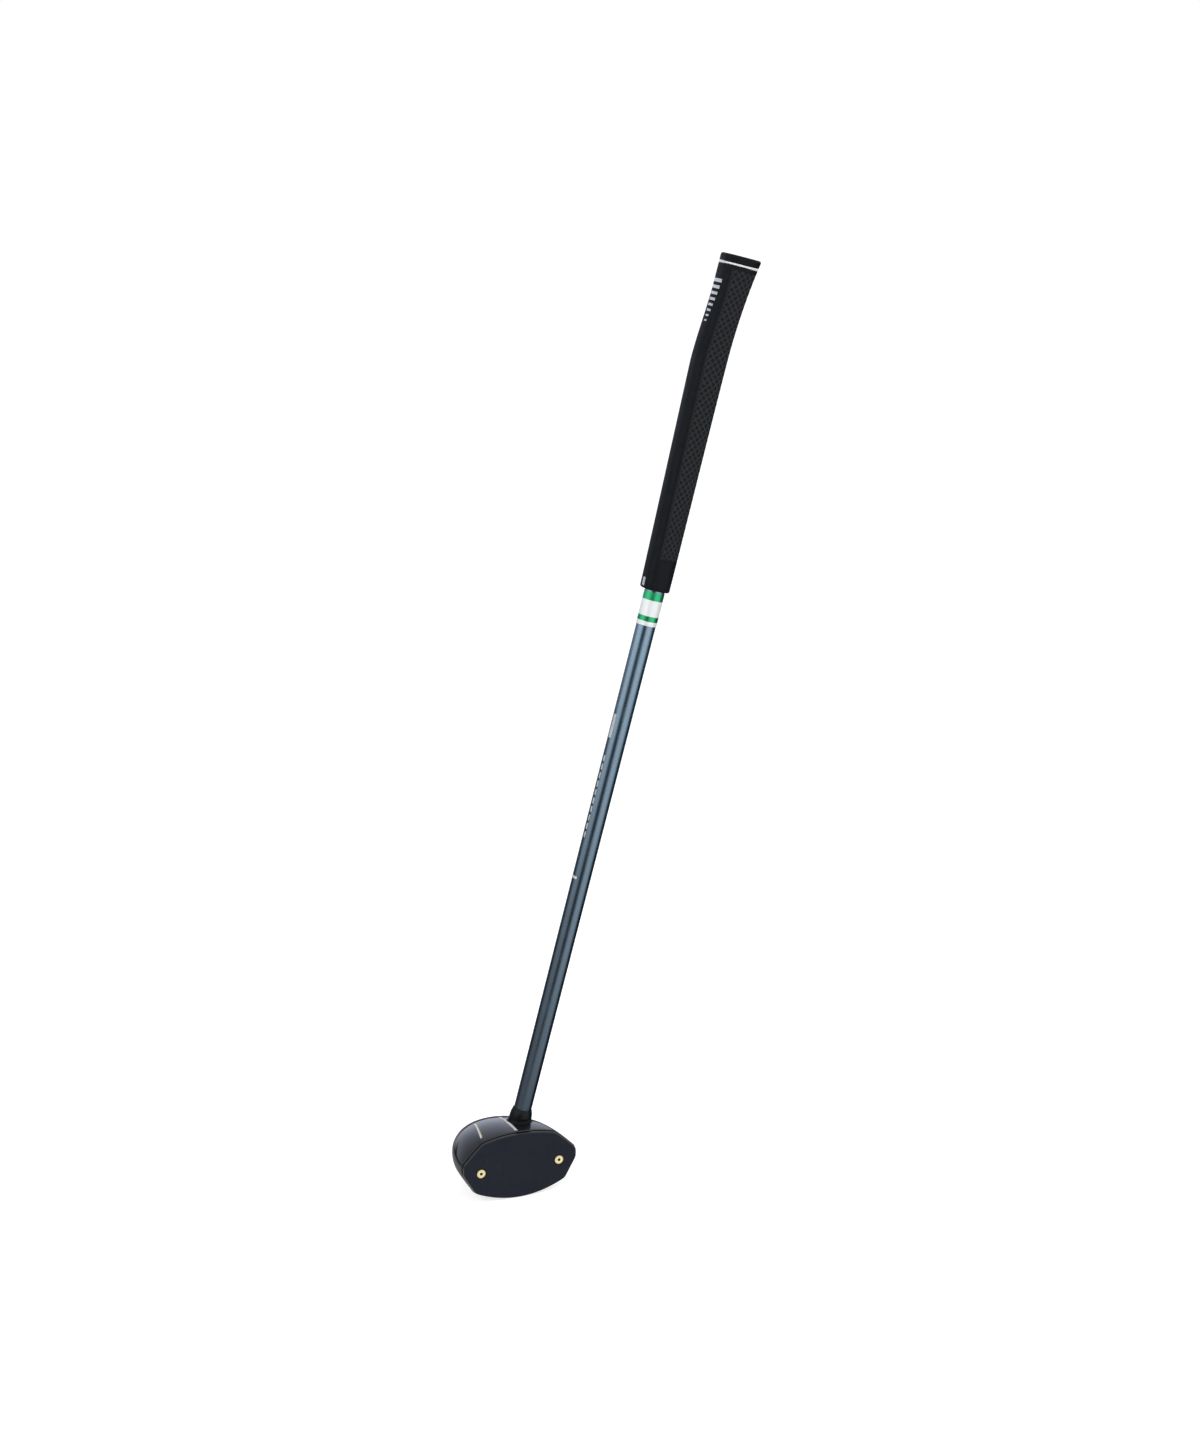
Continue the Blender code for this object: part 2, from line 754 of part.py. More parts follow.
def smooth(share):
    """Goes from 0 to 1 with no kink at either end."""
    share = min(max(share, 0.0), 1.0)
    return share * share * (3 - 2 * share)


def grip_reach(height):
    """How far the grip's front, rear and sides stand from the shaft axis at this height."""
    bulge = CLUB_LENGTH - GRIP_BULGE_DROP
    waist = CLUB_LENGTH - GRIP_FLARE_DROP
    climb = (height - GRIP_MOUTH) / (bulge - GRIP_MOUTH)
    front = between(GRIP_FRONT_LOW, GRIP_FRONT_BULGE, min(climb, 1.0))
    front += (GRIP_FRONT_TOP - GRIP_FRONT_BULGE) * smooth((height - bulge) / GRIP_BULGE_FADE)
    narrowing = smooth((height - GRIP_MOUTH) / (waist - GRIP_MOUTH))
    rear = between(GRIP_REAR_LOW, GRIP_REAR_WAIST, narrowing)
    flare = max((height - waist) / GRIP_FLARE_DROP, 0.0) ** GRIP_FLARE_POWER
    rear += (GRIP_REAR_TOP - GRIP_REAR_WAIST) * flare
    side = between(GRIP_SIDE_LOW, GRIP_SIDE_TOP, smooth((height - GRIP_MOUTH) / GRIP_LENGTH))
    return front, rear, side


def grip_section(height, inset=0.0):
    """The grip's section at a height: square-shouldered in front, where the thumbs lie, round behind."""
    front, rear, side = grip_reach(height)
    points = []
    for i in range(GRIP_POINTS):
        angle = 2 * pi * i / GRIP_POINTS
        across, along = sin(angle), cos(angle)
        power = 2 / (GRIP_REAR_SQUARE if along > 0 else GRIP_FRONT_SQUARE)
        reach = (rear if along > 0 else front) - inset
        x = reach * abs(along) ** power * (1 if along > 0 else -1)
        y = (side - inset) * abs(across) ** power * (1 if across > 0 else -1)
        points.append(Vector((x, y, height)))
    return points


def build_grip_sleeve(parts, cutters, material, axis):
    """The pistol-shaped rubber sleeve, bored to the shaft's taper."""
    rings = [grip_section(GRIP_MOUTH, GRIP_MOUTH_EDGE)]
    start = GRIP_MOUTH + GRIP_MOUTH_EDGE
    for i in range(GRIP_RINGS + 1):
        rings.append(grip_section(between(start, GRIP_TOP, i / GRIP_RINGS)))
    sleeve = lofted("grip_sleeve", rings, parts, material, axis)
    gap = 2 * SEAT + TAPE_THICKNESS
    bottom = GRIP_MOUTH - OVERSHOOT
    top = GRIP_TOP + OVERSHOOT
    bore = turned(
        "grip_bore_tool",
        [
            (0.0, top),
            (shaft_radius(top) + gap, top),
            (shaft_radius(bottom) + gap, bottom),
            (0.0, bottom),
        ],
        cutters,
        parent=axis,
    )
    boolean(sleeve, as_cutter(bore), "DIFFERENCE")
    return sleeve


def build_cap_ring(parts, cutters, material, axis):
    """The thin pale ring between the sleeve and the cap."""
    rings = [grip_section(RING_BASE), grip_section(RING_BASE + RING_HEIGHT)]
    ring = lofted("cap_ring", rings, parts, material, axis)
    hole = turned(
        "ring_hole_tool",
        [
            (0.0, CAP_BASE + OVERSHOOT),
            (stem_radius() + SEAT, CAP_BASE + OVERSHOOT),
            (stem_radius() + SEAT, RING_BASE - OVERSHOOT),
            (0.0, RING_BASE - OVERSHOOT),
        ],
        cutters,
        parent=axis,
    )
    boolean(ring, as_cutter(hole), "DIFFERENCE")
    return ring


def stem_radius():
    """Radius of the cap's stem, which is pushed into the shaft's upper end."""
    return shaft_radius(SHAFT_BUTT - STEM_LENGTH) - SHAFT_WALL - SEAT


def build_grip_cap(parts, cutters, material, axis):
    """The end cap: a rounded lid on the grip's own outline, with a stem that plugs the shaft."""
    rings = [grip_section(CAP_BASE), grip_section(CLUB_LENGTH - CAP_EDGE)]
    for i in range(1, CAP_RINGS + 1):
        angle = pi / 2 * i / CAP_RINGS
        ring = grip_section(CLUB_LENGTH - CAP_EDGE, CAP_EDGE * (1 - cos(angle)))
        rings.append([Vector((x, y, CLUB_LENGTH - CAP_EDGE * (1 - sin(angle)))) for x, y, _ in ring])
    cap = lofted("grip_cap", rings, parts, material, axis)
    foot = SHAFT_BUTT - STEM_LENGTH
    stem = turned(
        "cap_stem_tool",
        [
            (0.0, CAP_BASE + OVERSHOOT),
            (stem_radius(), CAP_BASE + OVERSHOOT),
            (stem_radius(), foot + STEM_EDGE),
            (stem_radius() - STEM_EDGE, foot),
            (0.0, foot),
        ],
        cutters,
        parent=axis,
    )
    boolean(cap, as_cutter(stem), "UNION")
    return cap


def add_shaft_axis(collection):
    """An empty whose Z is the shaft axis, standing where that axis meets the ground."""
    axis = bpy.data.objects.new("shaft_axis", None)
    collection.objects.link(axis)
    axis.location = (-AXIS_TOE_OFFSET, 0.0, 0.0)
    axis.rotation_euler = (0.0, SHAFT_LEAN, 0.0)
    return axis


def main():
    """Builds the club."""
    clear_scene()
    parts = new_collection("park_golf_club")
    cutters = new_collection("park_golf_club_tools")
    axis = add_shaft_axis(parts)
    finish = {name: new_material(name, *values) for name, values in FINISHES.items()}
    build_head_body(parts, cutters, finish["black_lacquer"], axis)
    build_backing_sheet(parts, cutters, finish["sheet_black"])
    build_face_plate(parts, cutters, finish["plate_black"])
    for side, x in SCREW_PLACES:
        build_face_screw(side, x, parts, cutters, finish["brass"])
    build_head_weight(parts, finish["brass"])
    build_ferrule(parts, finish["collar_black"], axis)
    build_shaft(parts, finish["shaft_blue"], axis)
    build_tip_plug(parts, finish["plug_grey"], axis)
    build_label_band(parts, finish["band_film"], axis)
    build_grip_tape(parts, finish["tape_white"], axis)
    build_grip_sleeve(parts, cutters, finish["grip_black"], axis)
    build_cap_ring(parts, cutters, finish["ring_white"], axis)
    build_grip_cap(parts, cutters, finish["grip_black"], axis)


main()
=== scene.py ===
"""A park golf club at rest, dressed on its solid model.

The frame is in metres, +Z up, with the club stood on its sole. -Y is the way a ball is struck, +X
is the heel side and -X is the toe side. Every new piece is a surface worked out on a grid with
numpy, and it lies where the solid that it stands for lies.
"""

import logging
from collections.abc import Sequence
from dataclasses import dataclass, field
from enum import Enum
from math import cos, pi, radians, sin
from typing import Optional

import bpy
import numpy as np
from mathutils import Matrix, Vector


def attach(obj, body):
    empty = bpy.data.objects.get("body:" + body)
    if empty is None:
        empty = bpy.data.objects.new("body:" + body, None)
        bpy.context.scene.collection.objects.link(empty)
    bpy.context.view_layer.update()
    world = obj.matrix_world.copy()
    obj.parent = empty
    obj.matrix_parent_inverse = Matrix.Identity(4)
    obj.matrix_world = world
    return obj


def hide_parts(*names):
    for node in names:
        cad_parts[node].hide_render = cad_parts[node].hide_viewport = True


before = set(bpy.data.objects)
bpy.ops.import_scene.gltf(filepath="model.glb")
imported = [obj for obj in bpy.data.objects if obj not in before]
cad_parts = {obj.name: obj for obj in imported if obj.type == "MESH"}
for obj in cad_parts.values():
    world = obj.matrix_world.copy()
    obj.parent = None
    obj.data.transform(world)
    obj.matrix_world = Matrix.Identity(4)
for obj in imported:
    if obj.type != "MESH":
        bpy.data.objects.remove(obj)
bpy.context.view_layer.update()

LOG = logging.getLogger("club")
BODY = "root"

SMOOTH_ANGLE = radians(35)
SEAT = 0.0003
TINY = 1e-12
SAME_POINT = 1e-7
LONGEST_CUT = 0.48
NODES_ACROSS, NODE_WIDTH, NODE_HEIGHT = 12, 180, 220

Pair = tuple[float, float]
Triple = tuple[float, float, float]
Span = tuple[float, float, float, float]
Colour = Triple
Socket = bpy.types.NodeSocket


@dataclass(frozen=True)
class Axis:
    """A line that pieces are set out along: where it starts, its way, and its first side."""

    foot: Triple
    along: Triple
    across: Triple

    def place(self, x: np.ndarray, y: np.ndarray, s: np.ndarray) -> np.ndarray:
        """Points from distances across the axis, aside of it and along it.

        Args:
            x: distances the axis' first side way.
            y: distances at right angles to that and to the axis.
            s: distances along the axis.

        Returns:
            An array of points, shaped as the three together with one axis of 3 more.
        """
        basis = np.array([self.across, np.cross(self.along, self.across), self.along])
        local = np.stack(np.broadcast_arrays(x, y, s), axis=-1)
        return np.array(self.foot) + local @ basis

    def about(self, radius: np.ndarray, angle: np.ndarray, height: np.ndarray) -> np.ndarray:
        """Points about the axis: r cos a and r sin a across it, and a height along it."""
        return self.place(radius * np.cos(angle), radius * np.sin(angle), height)

    def outward(self, x: np.ndarray, y: np.ndarray) -> np.ndarray:
        """Directions that go x and y across the axis."""
        return self.place(x, y, 0 * x) - np.array(self.foot)


LEAN = radians(15.87)
SHAFT_AXIS = Axis((-0.0055, 0.0, 0.0), (sin(LEAN), 0.0, cos(LEAN)), (cos(LEAN), 0.0, -sin(LEAN)))
NECK_TOP = 0.0630 / cos(LEAN)


def running(grid: np.ndarray, axis: int) -> np.ndarray:
    """Distance travelled over a grid of points one of its two ways.

    Args:
        grid: points, rows by columns by 3.
        axis: 0 to go down the rows, 1 to go along the columns.

    Returns:
        Running lengths that start from 0, rows by columns.
    """
    steps = np.linalg.norm(np.diff(grid, axis=axis), axis=-1)
    start = np.zeros_like(np.take(steps, [0], axis=axis))
    return np.concatenate([start, np.cumsum(steps, axis=axis)], axis=axis)


def four(grid: np.ndarray) -> np.ndarray:
    """The corners of each cell of a grid, in order round the cell.

    Args:
        grid: values, rows by columns by anything.

    Returns:
        One row for each cell, with its four corners' values.
    """
    corners = [grid[:-1, :-1], grid[:-1, 1:], grid[1:, 1:], grid[1:, :-1]]
    return np.stack(corners, axis=2).reshape(-1, 4, *grid.shape[2:])


def smooth(share: np.ndarray) -> np.ndarray:
    """Goes from 0 to 1 with no kink at either end: 3t^2 - 2t^3, held outside 0 to 1."""
    share = np.clip(share, 0.0, 1.0)
    return share * share * (3 - 2 * share)


def full_turn(count: int) -> np.ndarray:
    """This many angles that share out a full turn."""
    return 2 * pi * np.arange(count) / count


def quarter(radius: float, rows: int, endpoint: bool = True) -> tuple[np.ndarray, np.ndarray]:
    """A quarter circle that eases the corner between a first side and a second.

    Args:
        radius: its radius.
        rows: how many points it has.
        endpoint: whether its last point is one of them.

    Returns:
        With a from 0 to a quarter turn, r (1 - sin a) and r (1 - cos a): how far each point is from
        the second side and from the first.
    """
    turn = np.linspace(0.0, pi / 2, rows, endpoint=endpoint)
    return radius * (1 - np.sin(turn)), radius * (1 - np.cos(turn))


def rounded(profile: Sequence[Triple], steps: int = 5, ring: bool = False) -> np.ndarray:
    """A profile whose corners are rounded, each by its own cut.

    A corner P between its neighbours becomes the parabola a(1-t)^2 + 2Pt(1-t) + bt^2, where a and b
    lie on the two sides at the corner's cut from P, or at the longest cut's share of a short side.

    Args:
        profile: radius, height and cut of each corner, all in metres.
        steps: points on each rounded corner.
        ring: whether the profile closes on itself.

    Returns:
        Radius and height of each point.
    """
    table = np.array(profile, dtype=float)
    corners, cuts = table[:, :2], table[:, 2]
    back, on = np.roll(corners, 1, axis=0) - corners, np.roll(corners, -1, axis=0) - corners
    t = np.linspace(0.0, 1.0, steps)[None, :, None]
    ends = []
    for way in (back, on):
        length = np.maximum(np.linalg.norm(way, axis=1), TINY)
        ends.append((corners + way * np.minimum(cuts / length, LONGEST_CUT)[:, None])[:, None])
    arcs = ends[0] * (1 - t) ** 2 + corners[:, None] * 2 * t * (1 - t) + ends[1] * t**2
    if ring:
        points = arcs.reshape(-1, 2)
    else:
        points = np.concatenate([corners[:1], arcs[1:-1].reshape(-1, 2), corners[-1:]])
    apart = np.linalg.norm(np.diff(points, axis=0), axis=1) > SAME_POINT
    return points[np.concatenate([[True], apart])]


@dataclass
class Skin:
    """A closed surface over a grid of points, with a map of its own in metres.

    The columns run round the piece and join up. The rows run along it: on a ring they join up too,
    and otherwise each end is drawn together in a fan to a pole, the middle of its last row unless
    one is given. Where a depth is given, each cell is split along its deeper diagonal, so that a
    cut groove keeps a straight floor.
    """

    points: np.ndarray
    ring: bool = False
    poles: tuple[Optional[np.ndarray], Optional[np.ndarray]] = (None, None)
    heights: Optional[np.ndarray] = None
    masks: dict[str, np.ndarray] = field(default_factory=dict)
    depth: Optional[np.ndarray] = None

    def joined_up(self, grid: np.ndarray) -> np.ndarray:
        """A grid with its first column repeated at the end, and on a ring its first row too."""
        grid = np.concatenate([grid, grid[:, :1]], axis=1)
        return np.concatenate([grid, grid[:1]], axis=0) if self.ring else grid

    def chart(self) -> np.ndarray:
        """Map coordinates in metres: the way round each row, and the way along or the heights."""
        grid = self.joined_up(self.points)
        around = running(grid, 1)
        if self.heights is None:
            along = running(grid, 0).mean(axis=1)
        else:
            along = np.append(self.heights, self.heights[0]) if self.ring else self.heights
        return np.stack([around, np.broadcast_to(along[:, None], around.shape)], axis=-1)

    def vertices(self) -> np.ndarray:
        """All points of the grid, then the poles."""
        flat = self.points.reshape(-1, 3)
        if self.ring:
            return flat
        ends = [self.points[0].mean(axis=0), self.points[-1].mean(axis=0)]
        chosen = [mean if pole is None else pole for mean, pole in zip(ends, self.poles)]
        return np.concatenate([flat, np.array(chosen)])

    def mask(self, name: str) -> np.ndarray:
        """A mask's value at every vertex, 0 where the piece has no such mask."""
        values = self.masks.get(name, np.zeros(self.points.shape[:2]))
        if self.ring:
            return values.ravel()
        return np.concatenate([values.ravel(), [values[0].mean(), values[-1].mean()]])

    def faces(self) -> list[tuple[np.ndarray, np.ndarray]]:
        """Vertex numbers and map coordinates of the faces.

        Returns:
            Pairs of arrays, one pair for each number of corners, that turn outward.
        """
        rows, columns = self.points.shape[:2]
        number = self.joined_up(np.arange(rows * columns).reshape(rows, columns))
        chart = self.chart()
        cells, spread = four(number), four(chart)
        groups = [(cells, spread)]
        if self.depth is not None:
            low = four(self.joined_up(self.depth))
            first = (low[:, 0] + low[:, 2] >= low[:, 1] + low[:, 3])[:, None]
            pick = np.where(first, [[0, 1, 2, 0, 2, 3]], [[0, 1, 3, 1, 2, 3]])
            halves = np.take_along_axis(cells, pick, axis=1).reshape(-1, 3)
            parts = np.take_along_axis(spread, pick[:, :, None], axis=1).reshape(-1, 3, 2)
            groups = [(halves, parts)]
        if not self.ring:
            for end, (row, pole) in enumerate(((0, rows * columns), (-1, rows * columns + 1))):
                tip = np.full(columns, pole)
                reach = np.linalg.norm(self.points[row] - self.vertices()[pole], axis=1).mean()
                middle = (chart[row, 1:] + chart[row, :-1]) / 2
                middle = middle + [0.0, -reach if end == 0 else reach]
                fan = np.stack([number[row, :-1], number[row, 1:], tip], axis=1)
                sheet = np.stack([chart[row, :-1], chart[row, 1:], middle], axis=1)
                if end == 0:
                    fan, sheet = fan[:, ::-1], sheet[:, ::-1]
                groups.append((fan, sheet))
        vertices = self.vertices()
        volume = 0.0
        for corners, _ in groups:
            for i in range(1, corners.shape[1] - 1):
                volume += np.linalg.det(vertices[corners[:, [0, i, i + 1]]]).sum()
        if volume < 0:
            groups = [(corners[:, ::-1], sheet[:, ::-1]) for corners, sheet in groups]
        return groups


def mesh_of(name: str, skins: Sequence[Skin]) -> bpy.types.Mesh:
    """One mesh over any number of skins.

    Args:
        name: the mesh's name.
        skins: the surfaces, each closed by itself.

    Returns:
        The mesh, with a map called Surface in metres and one attribute for each mask.
    """
    vertices, corners, sizes, charts = [], [], [], []
    start = 0
    for skin in skins:
        for numbers, sheet in skin.faces():
            corners.append(numbers.ravel() + start)
            sizes.append(np.full(len(numbers), numbers.shape[1]))
            charts.append(sheet.reshape(-1, 2))
        vertices.append(skin.vertices())
        start += len(vertices[-1])
    flat, counts = np.concatenate(corners), np.concatenate(sizes)
    mesh = bpy.data.meshes.new(name)
    mesh.vertices.add(start)
    mesh.vertices.foreach_set("co", np.concatenate(vertices).astype(np.float32).ravel())
    mesh.loops.add(len(flat))
    mesh.loops.foreach_set("vertex_index", flat.astype(np.int32))
    mesh.polygons.add(len(counts))
    mesh.polygons.foreach_set("loop_start", (np.cumsum(counts) - counts).astype(np.int32))
    layer = mesh.uv_layers.new(name="Surface")
    layer.data.foreach_set("uv", np.concatenate(charts).astype(np.float32).ravel())
    for title in sorted({title for skin in skins for title in skin.masks}):
        attribute = mesh.attributes.new(title, "FLOAT", "POINT")
        values = np.concatenate([skin.mask(title) for skin in skins])
        attribute.data.foreach_set("value", values.astype(np.float32))
    mesh.update(calc_edges=True)
    mesh.validate()
    mesh.shade_smooth()
    mesh.set_sharp_from_angle(angle=SMOOTH_ANGLE)
    return mesh


def add_piece(
    name: str,
    skins: Sequence[Skin],
    material: bpy.types.Material,
    stands_for: Sequence[str] = (),
) -> bpy.types.Object:
    """Puts skins in the scene as one piece of the club.

    Args:
        name: the piece's name.
        skins: its surfaces.
        material: its finish.
        stands_for: the solid nodes that it hides.

    Returns:
        The piece's object.
    """
    item = bpy.data.objects.new(name, mesh_of(name, skins))
    bpy.context.scene.collection.objects.link(item)
    item.data.materials.append(material)
    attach(item, BODY)
    if stands_for:
        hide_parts(*stands_for)
    LOG.info("%s: %d faces", name, len(item.data.polygons))
    return item


def turned(profile: np.ndarray, axis: Axis, columns: int, ring: bool = False) -> Skin:
    """A surface of revolution: each profile point (r, s) goes to r cos a, r sin a, s on its axis.

    Args:
        profile: radius and height of each row.
        axis: the line that it is turned about.
        columns: points round each row.
        ring: whether the profile closes on itself.

    Returns:
        The surface.
    """
    points = axis.about(profile[:, :1], full_turn(columns), profile[:, 1:])
    return Skin(points, ring, heights=profile[:, 1])


def film(points: np.ndarray, normals: np.ndarray, lift: float, sink: float) -> Skin:
    """A thin closed film: each row runs across on top, lifted along the normals, and back under it.

    Args:
        points: the surface that it lies on, rows by points across by 3.
        normals: that surface's outward normals.
        lift: how far its top stands proud.
        sink: how far its underside lies in the surface.

    Returns:
        The film.
    """
    under = (points - normals * sink)[:, ::-1]
    return Skin(np.concatenate([points + normals * lift, under], axis=1))


class Bench:
    """The node tree of one material or effect, with short ways to add nodes and join them."""

    def __init__(self, tree: bpy.types.NodeTree) -> None:
        """Starts work on a tree, and finds its shader where it has one."""
        self.tree = tree
        self.shader = tree.nodes.get("Principled BSDF")

    def fill(self, node: bpy.types.Node, inputs: dict) -> None:
        """Gives a node's inputs, by name or number, their values, or joins them to sockets."""
        for key, value in inputs.items():
            if isinstance(value, bpy.types.NodeSocket):
                self.tree.links.new(value, node.inputs[key])
            else:
                node.inputs[key].default_value = value

    def finish(self, **inputs: object) -> None:
        """Fills the shader's inputs, each named with an underscore for a space."""
        self.fill(self.shader, {key.replace("_", " "): value for key, value in inputs.items()})

    def add(self, kind: str, inputs: Optional[dict] = None, **settings: object) -> bpy.types.Node:
        """Adds a node.

        Args:
            kind: the node's type, without the words that all shader nodes start with.
            inputs: a value or a socket for each input, by its name or number.
            settings: the node's own properties.

        Returns:
            The node.
        """
        node = self.tree.nodes.new("ShaderNode" + kind)
        row, column = divmod(len(self.tree.nodes), NODES_ACROSS)
        node.location = (NODE_WIDTH * column, -NODE_HEIGHT * row)
        for key, value in settings.items():
            setattr(node, key, value)
        self.fill(node, inputs or {})
        return node

    def maths(self, operation: str, *values: object) -> Socket:
        """The result of a Math node on these values or sockets."""
        return self.add("Math", dict(enumerate(values)), operation=operation).outputs[0]

    def times(self, first: object, *others: object) -> Socket:
        """The product of these values or sockets."""
        for value in others:
            first = self.maths("MULTIPLY", first, value)
        return first

    def less(self, value: object) -> Socket:
        """What 1 keeps when this is taken from it."""
        return self.maths("SUBTRACT", 1.0, value)

    def vector(self, operation: str, *values: object) -> Socket:
        """The result of a Vector Math node: a number for a length, otherwise a vector."""
        node = self.add("VectorMath", dict(enumerate(values)), operation=operation)
        return node.outputs["Value" if operation in ("LENGTH", "DISTANCE") else "Vector"]

    def parts(self, vector: Socket) -> Sequence[Socket]:
        """The three parts of a vector."""
        return self.add("SeparateXYZ", {0: vector}).outputs

    def blend(self, share: object, low: object, high: object) -> Socket:
        """A number that goes from low to high by this share."""
        return self.add("Mix", {0: share, 2: low, 3: high}, data_type="FLOAT").outputs[0]

    def tint(self, share: object, low: object, high: object) -> Socket:
        """A colour that goes from low to high by this share."""
        ends = [c if isinstance(c, bpy.types.NodeSocket) else (*c, 1.0) for c in (low, high)]
        return self.add("Mix", {0: share, 6: ends[0], 7: ends[1]}, data_type="RGBA").outputs[2]

    def step(self, value: object, low: float, high: float) -> Socket:
        """0 below the low value and 1 above the high one, with a smooth rise between."""
        inputs = {0: value, 1: low, 2: high, 3: 0.0, 4: 1.0}
        return self.add("MapRange", inputs, interpolation_type="SMOOTHSTEP").outputs[0]

    def between(self, value: object, start: float, full: float, last: float, end: float) -> Socket:
        """Rises from 0 to 1 between start and full, and falls to 0 again between last and end."""
        return self.maths("SUBTRACT", self.step(value, start, full), self.step(value, last, end))

    def ramp(self, value: object, low: float, high: float, start: float, end: float) -> Socket:
        """Goes evenly from start to end as the value goes from low to high, and holds outside."""
        return self.add("MapRange", {0: value, 1: low, 2: high, 3: start, 4: end}).outputs[0]

    def noise(self, vector: Socket, size: object, detail: float, distortion: float = 0.0) -> Socket:
        """Noise with blobs of this size."""
        inputs = {"Vector": vector, "Scale": self.maths("DIVIDE", 1.0, size)}
        inputs.update(Detail=detail, Distortion=distortion)
        return self.add("TexNoise", inputs).outputs[0]

    def place(self) -> Socket:
        """The Object coordinates."""
        return self.add("TexCoord").outputs["Object"]

    def chart(self) -> tuple[Socket, Socket]:
        """The piece's own map, and the way along the piece in it."""
        chart = self.add("UVMap", uv_map="Surface").outputs[0]
        return chart, self.parts(chart)[1]

    def mask(self, name: str) -> Socket:
        """One of the piece's masks."""
        return self.add("Attribute", attribute_name=name).outputs["Fac"]

    def effect(self, group: bpy.types.NodeTree, **inputs: object) -> Sequence[Socket]:
        """Places an effect with its own values, and gives its outputs."""
        node = self.tree.nodes.new("ShaderNodeGroup")
        node.node_tree = group
        self.fill(node, inputs)
        return node.outputs

    def bump(self, height: object, distance: float) -> Socket:
        """The normal of a surface with this relief, in metres."""
        return self.add("Bump", {"Height": height, "Distance": distance}).outputs[0]


class EffectBench(Bench):
    """The node group of one effect: its inputs are named first and its outputs last."""

    def __init__(self, name: str, **inputs: Optional[float]) -> None:
        """Starts the group.

        Args:
            name: the effect's name.
            inputs: each input's name with its default, or None for a vector.
        """
        super().__init__(bpy.data.node_groups.new(name, "ShaderNodeTree"))
        for title, value in inputs.items():
            kind = "NodeSocketVector" if value is None else "NodeSocketFloat"
            socket = self.tree.interface.new_socket(name=title, in_out="INPUT", socket_type=kind)
            if value is not None:
                socket.default_value = value
        given = self.tree.nodes.new("NodeGroupInput").outputs
        self.given = [given[title] for title in inputs]

    def done(self, **results: Socket) -> bpy.types.NodeTree:
        """Ends the group.

        Args:
            results: each output's name with the number that it puts out.

        Returns:
            The group.
        """
        for title in results:
            kind = "NodeSocketFloat"
            self.tree.interface.new_socket(name=title, in_out="OUTPUT", socket_type=kind)
        taken = self.tree.nodes.new("NodeGroupOutput")
        taken.location = (NODE_WIDTH * NODES_ACROSS, 0)
        self.fill(taken, results)
        return self.tree


class Effects:
    """The effects that more than one finish uses, each a node group built once.

    A fade is the two values of a noise, or of a cell's chance, between which something shows.
    """

    slow_grains: float = 9.0
    tone_fade: Pair = (0.3, 0.7)
    mark_fade: Pair = (0.46, 0.72)
    mark_twist: float = 0.6
    scratch_draw: Triple = (1.0, 1.0, 0.05)
    scratch_fade: Pair = (0.62, 0.74)
    spark_fade: Pair = (0.86, 0.98)
    dust_least: float = 0.35

    def __init__(self) -> None:
        """Builds all of them."""
        self.grain = self.make_grain()
        self.marks = self.make_marks()
        self.scratches = self.make_scratches()
        self.rings = self.make_rings()
        self.flake = self.make_flake()
        self.dust = self.make_dust_and_shade()

    def make_grain(self) -> bpy.types.NodeTree:
        """Fine grain: a height of the grain's own size, and a tone that drifts over nine grains."""
        bench = EffectBench("FineGrain", Vector=None, Size=0.0005)
        vector, size = bench.given
        fine = bench.noise(vector, size, detail=3.0)
        slow = bench.noise(vector, bench.times(size, self.slow_grains), detail=2.0)
        return bench.done(Height=fine, Tone=bench.step(slow, *self.tone_fade))

    def make_marks(self) -> bpy.types.NodeTree:
        """Hand marks: soft patches where a hand or a cloth has left the gloss uneven."""
        bench = EffectBench("HandMarks", Vector=None, Size=0.02, Amount=1.0)
        vector, size, amount = bench.given
        patch = bench.noise(vector, size, detail=5.0, distortion=self.mark_twist)
        return bench.done(Mask=bench.times(bench.step(patch, *self.mark_fade), amount))

    def make_scratches(self) -> bpy.types.NodeTree:
        """Fine scratches: noise drawn out along the third way, of which only the crests show."""
        bench = EffectBench("FineScratches", Vector=None, Spacing=0.0006, Amount=1.0)
        vector, spacing, amount = bench.given
        drawn = bench.vector("MULTIPLY", vector, self.scratch_draw)
        lines = bench.noise(drawn, spacing, detail=1.0)
        return bench.done(Mask=bench.times(bench.step(lines, *self.scratch_fade), amount))

    @staticmethod
    def make_rings() -> bpy.types.NodeTree:
        """Turned rings: half of 1 + sin(2 pi distance / pitch), as a lathe tool leaves them."""
        bench = EffectBench("TurnedRings", Distance=0.0, Pitch=0.0004)
        distance, pitch = bench.given
        wave = bench.maths("SINE", bench.times(bench.maths("DIVIDE", distance, pitch), 2 * pi))
        return bench.done(Height=bench.maths("MULTIPLY_ADD", wave, 0.5, 0.5))

    def make_flake(self) -> bpy.types.NodeTree:
        """Metal flake: cells that catch the light by a chance of their own, and the bright ones."""
        bench = EffectBench("MetalFlake", Vector=None, Size=0.0003)
        vector, size = bench.given
        inputs = {"Vector": vector, "Scale": bench.maths("DIVIDE", 1.0, size)}
        cells = bench.add("TexVoronoi", inputs).outputs["Color"]
        chance = bench.add("SeparateColor", {0: cells}).outputs[0]
        return bench.done(Tone=chance, Spark=bench.step(chance, *self.spark_fade))

    def make_dust_and_shade(self) -> bpy.types.NodeTree:
        """Dust and the brass's painted shade: the low places of a mask, broken up by fine noise."""
        bench = EffectBench("SettledDust", Vector=None, Low=0.0, Size=0.0008)
        vector, low, size = bench.given
        broken = bench.blend(bench.noise(vector, size, detail=4.0), self.dust_least, 1.0)
        return bench.done(Mask=bench.times(broken, low))


class Relief(Enum):
    """What a plain finish is covered with."""

    MOULDED = "grain from the mould"
    TURNED = "rings from the lathe"
    WOVEN = "a plain weave"


def scaled(colour: Colour, factor: float) -> Colour:
    """A colour made darker or lighter by a factor."""
    return tuple(part * factor for part in colour)


